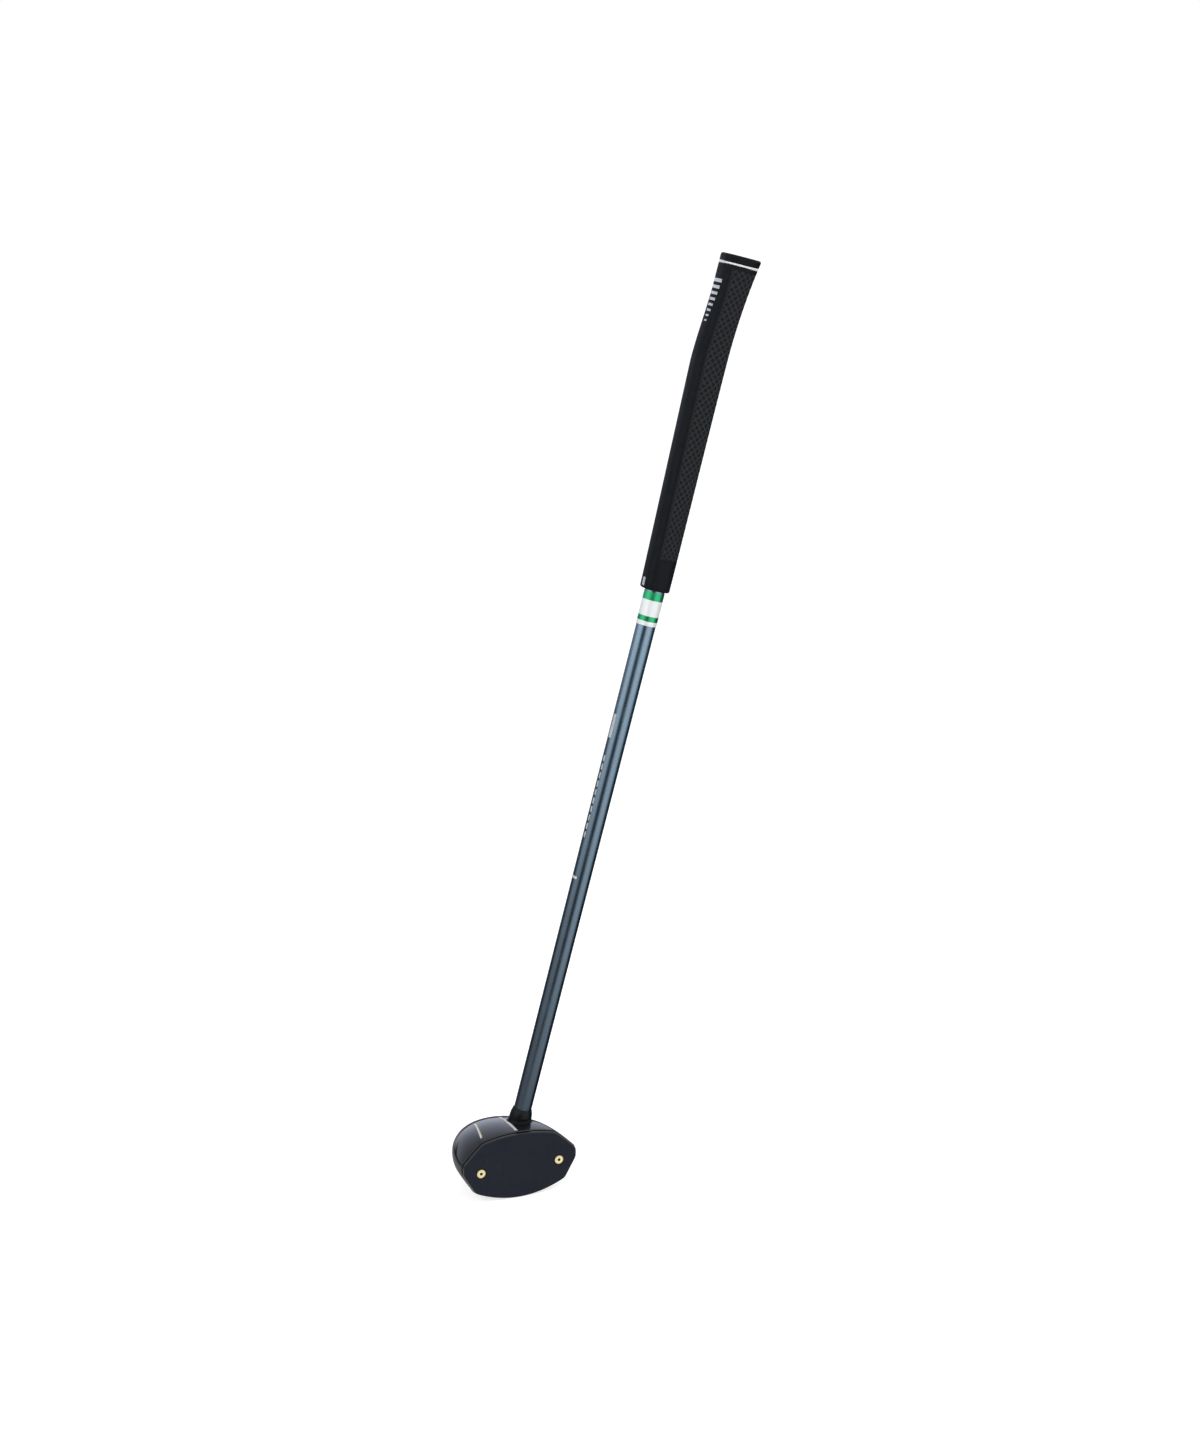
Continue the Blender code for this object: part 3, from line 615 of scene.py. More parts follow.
@dataclass(frozen=True)
class Finish:
    """What every finish has.

    Metallic, specular and the coats go to the shader. The grain is its size in metres and the depth
    is that of the relief. The drift is the darkest or lightest share of its colour, the marks are
    the size and amount of hand marks, and marked is what they add to the roughness.
    """

    name: str
    colour: Colour
    roughness: float
    metallic: float = 0.0
    specular: float = 0.5
    coat: float = 0.0
    coat_roughness: float = 0.03
    grain: float = 0.0005
    depth: float = 0.00001
    drift: float = 0.8
    marks: Pair = (0.012, 0.7)
    marked: float = 0.12

    def dress(self, effects: Effects) -> bpy.types.Material:
        """Makes the material.

        Args:
            effects: the shared effects.

        Returns:
            The material.
        """
        if self.name in bpy.data.materials:
            raise ValueError(f"{self.name}: a material has this name already")
        material = bpy.data.materials.new(self.name)
        material.use_nodes = True
        material.diffuse_color = (*self.colour, 1.0)
        bench = Bench(material.node_tree)
        bench.finish(Base_Color=(*self.colour, 1.0), Roughness=self.roughness)
        bench.finish(Metallic=self.metallic, Specular_IOR_Level=self.specular)
        bench.finish(Coat_Weight=self.coat, Coat_Roughness=self.coat_roughness)
        self.cover(bench, effects)
        return material

    def cover(self, bench: Bench, effects: Effects) -> None:
        """Adds what this kind of finish is covered with."""
        raise NotImplementedError

    def finished(self) -> bpy.types.Material:
        """The material of this name."""
        return bpy.data.materials[self.name]

    def drifting(self, bench: Bench, tone: Socket) -> Socket:
        """The colour, drifting by a tone."""
        return bench.tint(tone, self.colour, scaled(self.colour, self.drift))

    def handled(self, bench: Bench, effects: Effects, lines: Optional[Socket] = None) -> Socket:
        """The roughness with hand marks, and with a mask of lines where one is given."""
        size, amount = self.marks
        place = bench.place()
        mask = bench.effect(effects.marks, Vector=place, Size=size, Amount=amount)["Mask"]
        if lines is not None:
            mask = bench.maths("MAXIMUM", mask, lines)
        return bench.blend(mask, self.roughness, self.roughness + self.marked)


@dataclass(frozen=True)
class Lacquer(Finish):
    """Black gloss lacquer on wood: a faint ripple, hand marks, and scuffs low down by the sole.

    The scratches are a spacing and an amount, and the scuffs fade out between two heights.
    """

    coat: float = 0.35
    coat_roughness: float = 0.04
    grain: float = 0.0016
    drift: float = 1.35
    marks: Pair = (0.018, 0.8)
    marked: float = 0.10
    scratches: Pair = (0.0011, 0.5)
    scuffs: Pair = (0.0006, 0.0035)
    scuff_size: float = 0.0012
    scuff_colour: Colour = (0.10, 0.09, 0.08)
    scuff_roughness: float = 0.6

    def cover(self, bench: Bench, effects: Effects) -> None:
        """Adds the ripple, the scratches and the scuffs."""
        place = bench.place()
        ripple = bench.effect(effects.grain, Vector=place, Size=self.grain)
        spacing, amount = self.scratches
        lines = bench.effect(effects.scratches, Vector=place, Spacing=spacing, Amount=amount)
        low = bench.less(bench.step(bench.parts(place)[2], *self.scuffs))
        scuff = bench.effect(effects.dust, Vector=place, Low=low, Size=self.scuff_size)["Mask"]
        gloss = self.handled(bench, effects, lines["Mask"])
        bench.finish(
            Base_Color=bench.tint(scuff, self.drifting(bench, ripple["Tone"]), self.scuff_colour),
            Roughness=bench.blend(scuff, gloss, self.scuff_roughness),
            Normal=bench.bump(ripple["Height"], self.depth),
        )


@dataclass(frozen=True)
class Laminate(Finish):
    """A satin laminate plate with fine fibres, dull marks and strokes from balls.

    The fibres are drawn out across the plate, and the strokes are a spacing and an amount. The rim
    turns glossy between two places on the Y axis, and is painted darker there as shade on the
    plate's edges. The screw shadow is a painted shadow: a dark ring round each screw, on both sides
    of the middle, that fades out between two distances.
    """

    specular: float = 0.12
    coat_roughness: float = 0.10
    depth: float = 0.000012
    drift: float = 1.06
    marks: Pair = (0.014, 1.0)
    marked: float = 0.14
    fibre_draw: Triple = (0.12, 1.0, 1.0)
    fibre_dark: float = 0.92
    strokes: Pair = (0.0009, 0.10)
    stroke_colour: Colour = (0.055, 0.058, 0.070)
    rim: Pair = (-0.03095, -0.03070)
    # painted shade: the rim's colour is darker on the plate's edges
    rim_shade_colour: Colour = (0.003, 0.003, 0.004)
    # painted shadow: a dark ring round each screw, where the countersink's shade falls
    screw_shadow_centre: Triple = (0.0369, 0.0, 0.0294)
    screw_shadow_fade: Pair = (0.0049, 0.0055)
    screw_shadow_colour: Colour = (0.006, 0.005, 0.003)

    def cover(self, bench: Bench, effects: Effects) -> None:
        """Adds the fibres, the strokes, the painted shadows round the screws and the rim, painted
        darker as shade.
        """
        place = bench.place()
        drawn = bench.vector("MULTIPLY", place, self.fibre_draw)
        fibre = bench.effect(effects.grain, Vector=drawn, Size=self.grain)
        tone = bench.tint(fibre["Height"], scaled(self.colour, self.fibre_dark), self.colour)
        colour = bench.tint(fibre["Tone"], tone, scaled(self.colour, self.drift))
        spacing, amount = self.strokes
        strokes = bench.effect(effects.scratches, Vector=place, Spacing=spacing, Amount=amount)
        colour = bench.tint(strokes["Mask"], colour, self.stroke_colour)
        # Painted shadow: a dark ring round each screw.
        upright = bench.vector("MULTIPLY", bench.vector("ABSOLUTE", place), (1.0, 0.0, 1.0))
        beyond = bench.step(bench.vector("DISTANCE", upright, self.screw_shadow_centre), *self.screw_shadow_fade)
        colour = bench.tint(beyond, self.screw_shadow_colour, colour)
        # The rim is glossier, and painted darker as shade on the plate's edges.
        rim = bench.step(bench.parts(place)[1], *self.rim)
        bench.finish(
            Base_Color=bench.tint(rim, colour, self.rim_shade_colour),
            Roughness=self.handled(bench, effects),
            Coat_Weight=rim,
            Normal=bench.bump(fibre["Height"], self.depth),
        )


@dataclass(frozen=True)
class Brass(Finish):
    """Turned brass: rings from the tool, a drift in its tone, painted shade at the head's edge and
    a dull socket painted dark as shade.
    """

    metallic: float = 1.0
    grain: float = 0.0004
    depth: float = 0.000006
    drift: float = 0.86
    pitch: float = 0.00035
    # painted shade at the screw head's edge and its size, then painted shade in the socket
    edge_shade: Colour = (0.30, 0.18, 0.035)
    edge_shade_size: float = 0.0006
    painted_shade: Colour = (0.150, 0.092, 0.006)
    dull: float = 0.6

    def cover(self, bench: Bench, effects: Effects) -> None:
        """Adds the rings, the painted shade at the head's edge and the painted shade in the socket.
        """
        place, socket = bench.place(), bench.mask("socket")
        rings = bench.effect(effects.rings, Distance=bench.chart()[1], Pitch=self.pitch)
        grain = bench.effect(effects.grain, Vector=place, Size=self.grain)
        # Painted shade: the low mask darkens the screw head's edge, broken up by a fine noise.
        low = bench.mask("low")
        low = bench.effect(effects.dust, Vector=place, Low=low, Size=self.edge_shade_size)["Mask"]
        colour = bench.tint(low, self.drifting(bench, grain["Tone"]), self.edge_shade)
        dull = bench.maths("MAXIMUM", low, socket)
        bench.finish(
            # Painted shade: the socket is darkened as a recess in shade.
            Base_Color=bench.tint(socket, colour, self.painted_shade),
            Roughness=bench.blend(dull, self.roughness, self.dull),
            Normal=bench.bump(rings["Height"], self.depth),
        )


@dataclass(frozen=True)
class FlakePaint(Finish):
    """Metallic paint under clear coat, painted darker down the tube as shade between two heights.
    """

    metallic: float = 1.0
    coat: float = 0.3
    coat_roughness: float = 0.08
    grain: float = 0.00035
    depth: float = 0.000004
    marks: Pair = (0.03, 1.0)
    marked: float = 0.08
    foot_shade: Colour = (0.050, 0.066, 0.090)
    heights: Pair = (0.05, 0.55)
    flake_shade: float = 0.28

    def cover(self, bench: Bench, effects: Effects) -> None:
        """Adds the flakes and the painted shade down the tube."""
        chart, along = bench.chart()
        flake = bench.effect(effects.flake, Vector=chart, Size=self.grain)
        # Painted shade: the paint darkens toward the foot, where less light reaches the tube.
        paint = bench.tint(bench.ramp(along, *self.heights, 0.0, 1.0), self.foot_shade, self.colour)
        share = bench.blend(flake["Tone"], 0.0, self.flake_shade)
        bench.finish(
            Base_Color=bench.tint(flake["Spark"], bench.tint(share, paint, (0.0, 0.0, 0.0)), paint),
            Roughness=self.handled(bench, effects),
            Normal=bench.bump(flake["Tone"], self.depth),
        )


@dataclass(frozen=True)
class BandFilm(Finish):
    """A foil film of green and pale silver bands at heights up the shaft, with hairlines round it.

    The metal is how metallic the silver and the green are.
    """

    coat: float = 0.3
    coat_roughness: float = 0.08
    grain: float = 0.0004
    depth: float = 0.000004
    drift: float = 0.86
    marked: float = 0.08
    hair: float = 0.0009
    metal: Pair = (0.15, 0.95)
    green: Colour = (0.045, 0.60, 0.24)
    green_drift: float = 0.8
    green_bands: tuple[Pair, ...] = ((0.5463, 0.5560), (0.5277, 0.5323))
    edge: float = 0.00012

    def cover(self, bench: Bench, effects: Effects) -> None:
        """Adds the bands, the flakes and the hairlines."""
        chart, along = bench.chart()
        edge = self.edge
        bands = [
            bench.between(along, low - edge, low + edge, high - edge, high + edge)
            for low, high in self.green_bands
        ]
        inside = bench.maths("MAXIMUM", *bands)
        hair = bench.effect(effects.rings, Distance=along, Pitch=self.hair)["Height"]
        flake = bench.effect(effects.flake, Vector=chart, Size=self.grain)["Tone"]
        green = bench.tint(flake, self.green, scaled(self.green, self.green_drift))
        bench.finish(
            Base_Color=bench.tint(inside, self.drifting(bench, flake), green),
            Metallic=bench.blend(inside, *self.metal),
            Roughness=bench.blend(hair, self.roughness, self.roughness + self.marked),
            Normal=bench.bump(hair, self.depth),
        )


@dataclass(frozen=True)
class Rubber(Finish):
    """Moulded rubber: a fine matt grain, tops polished by hands, and dust in what is cut in it."""

    specular: float = 0.11
    grain: float = 0.0006
    depth: float = 0.00004
    drift: float = 1.4
    marks: Pair = (0.022, 0.8)
    marked: float = -0.14
    dust_colour: Colour = (0.068, 0.069, 0.074)
    dust_share: float = 0.60
    dust_size: float = 0.0015
    dull: float = 0.85

    def cover(self, bench: Bench, effects: Effects) -> None:
        """Adds the grain, the polish and the dust."""
        place, low = bench.place(), bench.mask("low")
        grain = bench.effect(effects.grain, Vector=place, Size=self.grain)
        dust = bench.effect(effects.dust, Vector=place, Low=low, Size=self.dust_size)["Mask"]
        share = bench.times(dust, self.dust_share)
        bench.finish(
            Base_Color=bench.tint(share, self.drifting(bench, grain["Tone"]), self.dust_colour),
            Roughness=bench.blend(low, self.handled(bench, effects), self.dull),
            Normal=bench.bump(grain["Height"], self.depth),
        )


@dataclass(frozen=True)
class PlainFinish(Finish):
    """Plastic, sheet, tape, foil or enamel: one colour with the relief that its making leaves."""

    relief: Relief = Relief.MOULDED

    def cover(self, bench: Bench, effects: Effects) -> None:
        """Adds the grain and the relief."""
        place = bench.place()
        grain = bench.effect(effects.grain, Vector=place, Size=self.grain)
        height = grain["Height"]
        if self.relief is not Relief.MOULDED:
            parts = bench.parts(place)
            ways = [bench.chart()[1]] if self.relief is Relief.TURNED else [parts[0], parts[2]]
            rings = [bench.effect(effects.rings, Distance=way, Pitch=self.grain) for way in ways]
            height = bench.times(*(ring["Height"] for ring in rings))
        bench.finish(
            Base_Color=self.drifting(bench, grain["Tone"]),
            Roughness=self.handled(bench, effects),
            Normal=bench.bump(height, self.depth),
        )


@dataclass(frozen=True)
class Finishes:
    """All finishes of the club: each has a name, a colour, a roughness and what else differs."""

    lacquer: Lacquer = Lacquer("black_lacquer", (0.008, 0.008, 0.010), 0.06)
    neck: Lacquer = Lacquer(
        "neck_lacquer", (0.003, 0.0036, 0.005), 0.14, specular=0.12, coat=0.0, marked=0.08
    )
    plate: Laminate = Laminate("plate_laminate", (0.0115, 0.0138, 0.0225), 0.42)
    sheet: PlainFinish = PlainFinish(
        "sheet_fibre", (0.006, 0.006, 0.006), 0.85, grain=0.0003, depth=0.00003
    )
    screw: Brass = Brass("screw_turned_brass", (0.98, 0.86, 0.52), 0.24)
    weight: Brass = Brass("weight_turned_brass", (0.78, 0.58, 0.24), 0.32, pitch=0.0006)
    collar: PlainFinish = PlainFinish(
        "collar_black",
        (0.004, 0.0046, 0.006),
        0.22,
        specular=0.22,
        depth=0.000004,
        relief=Relief.TURNED,
    )
    paint: FlakePaint = FlakePaint("shaft_flake_paint", (0.325, 0.455, 0.575), 0.22)
    plug: PlainFinish = PlainFinish("plug_grey", (0.20, 0.20, 0.20), 0.7)
    band: BandFilm = BandFilm("band_foil", (0.93, 0.95, 0.95), 0.26)
    tape: PlainFinish = PlainFinish(
        "tape_cloth", (0.70, 0.68, 0.60), 0.8, grain=0.0008, depth=0.00004, relief=Relief.WOVEN
    )
    grip: Rubber = Rubber("grip_moulded_rubber", (0.0045, 0.0055, 0.0070), 0.50)
    ring: PlainFinish = PlainFinish(
        "ring_white", (0.82, 0.82, 0.81), 0.35, depth=0.000004, drift=0.96
    )
    cap: Rubber = Rubber("cap_moulded_rubber", (0.0040, 0.0048, 0.0062), 0.46, grain=0.0004)
    enamel: PlainFinish = PlainFinish("sight_white", (0.80, 0.80, 0.80), 0.30, depth=0.000006)
    gold: PlainFinish = PlainFinish(
        "sight_gold_enamel", (0.75, 0.42, 0.10), 0.30, metallic=0.8
    )
    silver: PlainFinish = PlainFinish(
        "accent_silver_paint", (0.70, 0.75, 0.77), 0.30, metallic=0.35
    )


@dataclass
class HeadForm:
    """The head's form: a front outline carried back as a dome, its crown falling to the heel.

    The plan, the crown and the sole are each the two powers of the law by which they close.
    """

    half_width: float = 0.0542
    height: float = 0.0630
    heel_fall: float = 0.075
    tip_low: float = 0.0295
    tip_height: float = 0.0090
    upper_inset: float = 0.0197
    crown_bow: float = 0.0048
    flank_bow: float = 0.0005
    lower_inset: float = 0.0112
    lower_z: float = 0.0103
    sole_grind: float = 0.0004
    corner: float = 0.0028
    front: float = -0.0266
    depth: float = 0.0716
    plan: Pair = (1.8, 2.4)
    crown: Pair = (1.9, 2.1)
    sole: Pair = (2.1, 2.0)
    sole_level: float = 0.0256
    back_rise: float = 0.0035
    back_climb: float = 1.5
    toeward: float = 0.0060
    softness: float = 1.2
    edge: float = 0.0007
    counts: tuple[int, ...] = (6, 22, 76, 22, 6, 18, 92, 18)
    corner_count: int = 7
    crown_start: float = 0.001

    @property
    def middle(self) -> float:
        """Height of the middle of the toe and heel tips."""
        return self.tip_low + self.tip_height / 2

    def outline(self) -> np.ndarray:
        """The front outline before its crown falls.

        Each of eight stretches bows to its left as the parabola 4t(1-t) of its bow, is cut short at
        both ends, and is joined to the next by a parabola with the old corner as its control point.

        Returns:
            x and z of each point, from the toe tip over the crown to the heel and back by the sole.
        """
        high = self.height - self.crown_bow
        upper, lower = self.half_width - self.upper_inset, self.half_width - self.lower_inset
        tip = self.tip_low + self.tip_height
        xs = [-self.half_width, -self.half_width, -upper, upper, self.half_width, self.half_width]
        zs = [self.tip_low, tip, high, high, tip, self.tip_low, self.lower_z, self.lower_z]
        corners = np.column_stack([xs + [lower, -lower], zs])
        sole = self.lower_z + self.sole_grind
        bows = (0.0, self.flank_bow, self.crown_bow, self.flank_bow, 0.0, 0.0, sole, 0.0)
        runs = []
        for start, end, bow, count in zip(corners, np.roll(corners, -1, axis=0), bows, self.counts):
            chord = end - start
            length = np.linalg.norm(chord)
            share = self.corner / length
            t = np.linspace(share, 1 - share, count + 1)[:, None]
            left = np.array([-chord[1], chord[0]]) / length
            runs.append(start + chord * t + left * (bow * 4 * t * (1 - t)))
        t = (np.arange(1, self.corner_count) / self.corner_count)[:, None]
        points = []
        for i, run in enumerate(runs):
            after = runs[(i + 1) % len(runs)][0]
            turn = corners[(i + 1) % len(corners)]
            points += [run, run[-1] * (1 - t) ** 2 + turn * 2 * t * (1 - t) + after * t**2]
        return np.concatenate(points)

    def crown_share(self, x: np.ndarray) -> np.ndarray:
        """How much of its height the crown keeps this far from the middle: all of it at the toe."""
        return 1 - self.heel_fall * (x / self.half_width + 1) / 2

    def front_outline(self) -> np.ndarray:
        """The front outline with its crown fallen toward the heel."""
        flat = self.outline()
        rise = np.maximum(flat[:, 1] - self.middle, 0.0)
        flat[:, 1] -= rise * (1 - self.crown_share(flat[:, 0]))
        return flat

    def inset_outline(self, distance: float) -> np.ndarray:
        """The front outline moved inward by a distance along its own normals."""
        flat = self.front_outline()
        way = np.roll(flat, -1, axis=0) - np.roll(flat, 1, axis=0)
        way /= np.linalg.norm(way, axis=1)[:, None]
        return flat + np.column_stack([way[:, 1], -way[:, 0]]) * distance

    def section(self, share: np.ndarray, flat: np.ndarray) -> np.ndarray:
        """Sections of the dome at shares of its depth.

        With t the share, the plan keeps (1-t^a)^(1/b) of its width, the crown and the sole keep
        such shares of their heights by laws of their own, and the outline is drawn toward an
        ellipse.

        Args:
            share: how far back each section is, from 0 to 1.
            flat: the outline's points.

        Returns:
            Points, sections by outline points by 3.
        """
        t = np.clip(np.asarray(share, dtype=float), 0.0, 1.0)[:, None]

        def kept(u: np.ndarray, law: Pair) -> np.ndarray:
            """What is left of a size at this share of its way."""
            return np.maximum(1 - u ** law[0], 0.0) ** (1 / law[1])

        level = self.sole_level / self.depth
        width, above = kept(t, self.plan), kept(t, self.crown)
        centre = self.middle + self.back_rise * t**self.back_climb
        below = kept(np.maximum((t - level) / (1 - level), 0.0), self.sole) * centre / self.middle
        soft = np.minimum(self.softness * t, 1.0)
        x, height = flat[None, :, 0], flat[None, :, 1] - self.middle
        reach = np.where(height > 0, self.height - self.middle, self.middle)
        angle = np.arctan2(height / reach, x / self.half_width)
        x = x + (self.half_width * np.cos(angle) - x) * soft
        height = height + (reach * np.sin(angle) - height) * soft
        height = height * np.where(height > 0, above * self.crown_share(x), below)
        z = np.maximum(centre + height, 0.0)
        y = self.front + self.depth * t + 0 * x
        return np.stack([x * width - self.toeward * t, y, z], axis=-1)

    def crown_height(self, x: np.ndarray, y: np.ndarray) -> np.ndarray:
        """Height of the dome over points of the ground, by the two nearest points of a section."""
        flat = self.outline()
        top = flat[flat[:, 1] > self.middle + self.crown_start]
        rows = self.section((np.ravel(y) - self.front) / self.depth, top)
        column = np.clip((rows[:, :, 0] < np.ravel(x)[:, None]).sum(axis=1), 1, len(top) - 1)
        pick = np.arange(len(rows))
        before, after = rows[pick, column - 1], rows[pick, column]
        share = (np.ravel(x) - before[:, 0]) / (after[:, 0] - before[:, 0])
        return (before[:, 2] + (after[:, 2] - before[:, 2]) * share).reshape(np.shape(x))

    def crown_normal(self, x: np.ndarray, y: np.ndarray, reach: float = 0.0004) -> np.ndarray:
        """Outward normals of the dome, from heights this far to either side."""
        slope_x = (self.crown_height(x + reach, y) - self.crown_height(x - reach, y)) / (2 * reach)
        slope_y = (self.crown_height(x, y + reach) - self.crown_height(x, y - reach)) / (2 * reach)
        normals = np.stack([-slope_x, -slope_y, np.ones_like(slope_x)], axis=-1)
        return normals / np.linalg.norm(normals, axis=-1, keepdims=True)


@dataclass
class HeadShell:
    """The lacquered wood of the head, and the neck turned on it.

    The neck's curve leaves its top by a share of its drop and lands by a share of its flare. Below
    that it is tucked into the head and closed at the root.
    """

    form: HeadForm
    rows: int = 110
    edge_rows: int = 6
    neck_radius: float = 0.0101
    foot_radius: float = 0.0118
    lip: float = 0.0004
    bore: float = 0.0083
    root: float = 0.0520
    root_inset: float = 0.0020
    tuck: Pair = (0.0006, 0.0012)
    top_pull: float = 0.62
    foot_pull: float = 0.75
    least_drop: float = 0.0004
    landing_steps: int = 14
    neck_rows: int = 26
    neck_columns: int = 128

    def dome(self) -> Skin:
        """The dome: a rounded rim in front, then sections that crowd toward the back by a sine."""
        form = self.form
        rim = []
        for inset, depth in zip(*quarter(form.edge, self.edge_rows, endpoint=False)):
            flat = form.inset_outline(inset)
            away = np.full(len(flat), form.front + depth)
            rim.append(np.column_stack([flat[:, 0], away, np.maximum(flat[:, 1], 0.0)]))
        first = form.edge / form.depth
        way = np.sin(pi / 2 * np.arange(self.rows) / self.rows)
        sections = form.section(first + (1 - first) * way, form.outline())
        back = np.array([-form.toeward, form.front + form.depth, form.middle + form.back_rise])
        return Skin(np.concatenate([np.array(rim), sections]), poles=(None, back))

    def landing(self, angle: np.ndarray) -> tuple[np.ndarray, np.ndarray]:
        """Where each column of the neck lands: the line at the foot radius goes on to the dome.

        Args:
            angle: the columns' angles.

        Returns:
            The height of each landing, and the dome's slope there as a radius and a height.
        """
        along = np.array(SHAFT_AXIS.along)
        foot = np.full_like(angle, NECK_TOP)
        for _ in range(self.landing_steps):
            point = SHAFT_AXIS.about(self.foot_radius, angle, foot)
            drop = point[:, 2] - self.form.crown_height(point[:, 0], point[:, 1])
            foot = foot - drop / along[2]
        normal = self.form.crown_normal(point[:, 0], point[:, 1])
        outward = SHAFT_AXIS.outward(np.cos(angle), np.sin(angle))
        slope = np.stack([normal @ along, -(normal * outward).sum(axis=1)], axis=1)
        return foot, slope / np.linalg.norm(slope, axis=1)[:, None]

    def neck(self) -> Skin:
        """The neck: from its top it flares down in a cubic curve that lands flush on the dome.

        The curve leaves the top straight down and the dome along the dome's own slope.

        Returns:
            A ring surface, closed inside the head and along the bore.
        """
        angle = full_turn(self.neck_columns)
        foot, slope = self.landing(angle)

        def row(radius: float, height: np.ndarray) -> np.ndarray:
            """One row at a radius and a height, or heights."""
            return np.stack([np.full_like(foot, radius), height + 0 * foot], axis=-1)

        top = NECK_TOP - self.lip
        start, end = row(self.neck_radius, top), row(self.foot_radius, foot)
        drop = np.maximum((top - foot)[:, None] * self.top_pull, self.least_drop)
        near = start - np.array([[0.0, 1.0]]) * drop
        far = end - slope * (self.foot_pull * (self.foot_radius - self.neck_radius))
        t = np.linspace(0.0, 1.0, self.neck_rows)[:, None, None]
        curve = start * (1 - t) ** 3 + near * 3 * t * (1 - t) ** 2
        curve = curve + far * 3 * t**2 * (1 - t) + end * t**3
        above = [row(self.bore, NECK_TOP), row(self.neck_radius - self.lip, NECK_TOP)]
        below = [end - np.array(self.tuck), row(self.foot_radius - self.root_inset, self.root)]
        rows = np.concatenate([above, curve, [*below, row(self.bore, self.root)]])
        return Skin(SHAFT_AXIS.about(rows[..., 0], angle, rows[..., 1]), ring=True)

    def build(self, effects: Effects, finishes: Finishes) -> None:
        """Adds the dome and the neck."""
        lacquer = finishes.lacquer.dress(effects)
        add_piece("head_shell", [self.dome()], lacquer, ["head_body"])
        add_piece("head_neck", [self.neck()], finishes.neck.dress(effects))


@dataclass
class SightLines:
    """Lines painted on the crown.

    A course is a width, y at the front and the back, and x at the front, the middle and the back.
    """

    form: HeadForm
    lift: float = 0.00006
    sink: float = 0.0003
    white: tuple[tuple[float, ...], ...] = (
        (0.0026, -0.0242, 0.0190, -0.0008, -0.0008, -0.0008),
        (0.0017, -0.0195, 0.0190, -0.0322, -0.0282, -0.0246),
    )
    gold: tuple[tuple[float, ...], ...] = ((0.0007, -0.0180, 0.0080, -0.0309, -0.0284, -0.0261),)
    rows: int = 60
    across: int = 5

    def line(self, course: tuple[float, ...]) -> Skin:
        """One line: its middle is the parabola through the three places, laid on the dome."""
        t = np.linspace(0.0, 1.0, self.rows)[:, None]
        width, front, back, x0, x1, x2 = course
        middle = x0 * (1 - t) * (1 - 2 * t) + x1 * 4 * t * (1 - t) + x2 * t * (2 * t - 1)
        x = middle + np.linspace(-0.5, 0.5, self.across) * width
        y = front + (back - front) * t + 0 * x
        points = np.stack([x, y, self.form.crown_height(x, y)], axis=-1)
        return film(points, self.form.crown_normal(x, y), self.lift, self.sink)

    def build(self, effects: Effects, finishes: Finishes) -> None:
        """Adds the lines, one piece for each paint."""
        white = finishes.enamel.dress(effects)
        gold = finishes.gold.dress(effects)
        add_piece("sight_lines_white", [self.line(p) for p in self.white], white)
        add_piece("sight_line_gold", [self.line(p) for p in self.gold], gold)


class Side(Enum):
    """The two ends of the head, by their way along X."""

    TOE = -1
    HEEL = 1


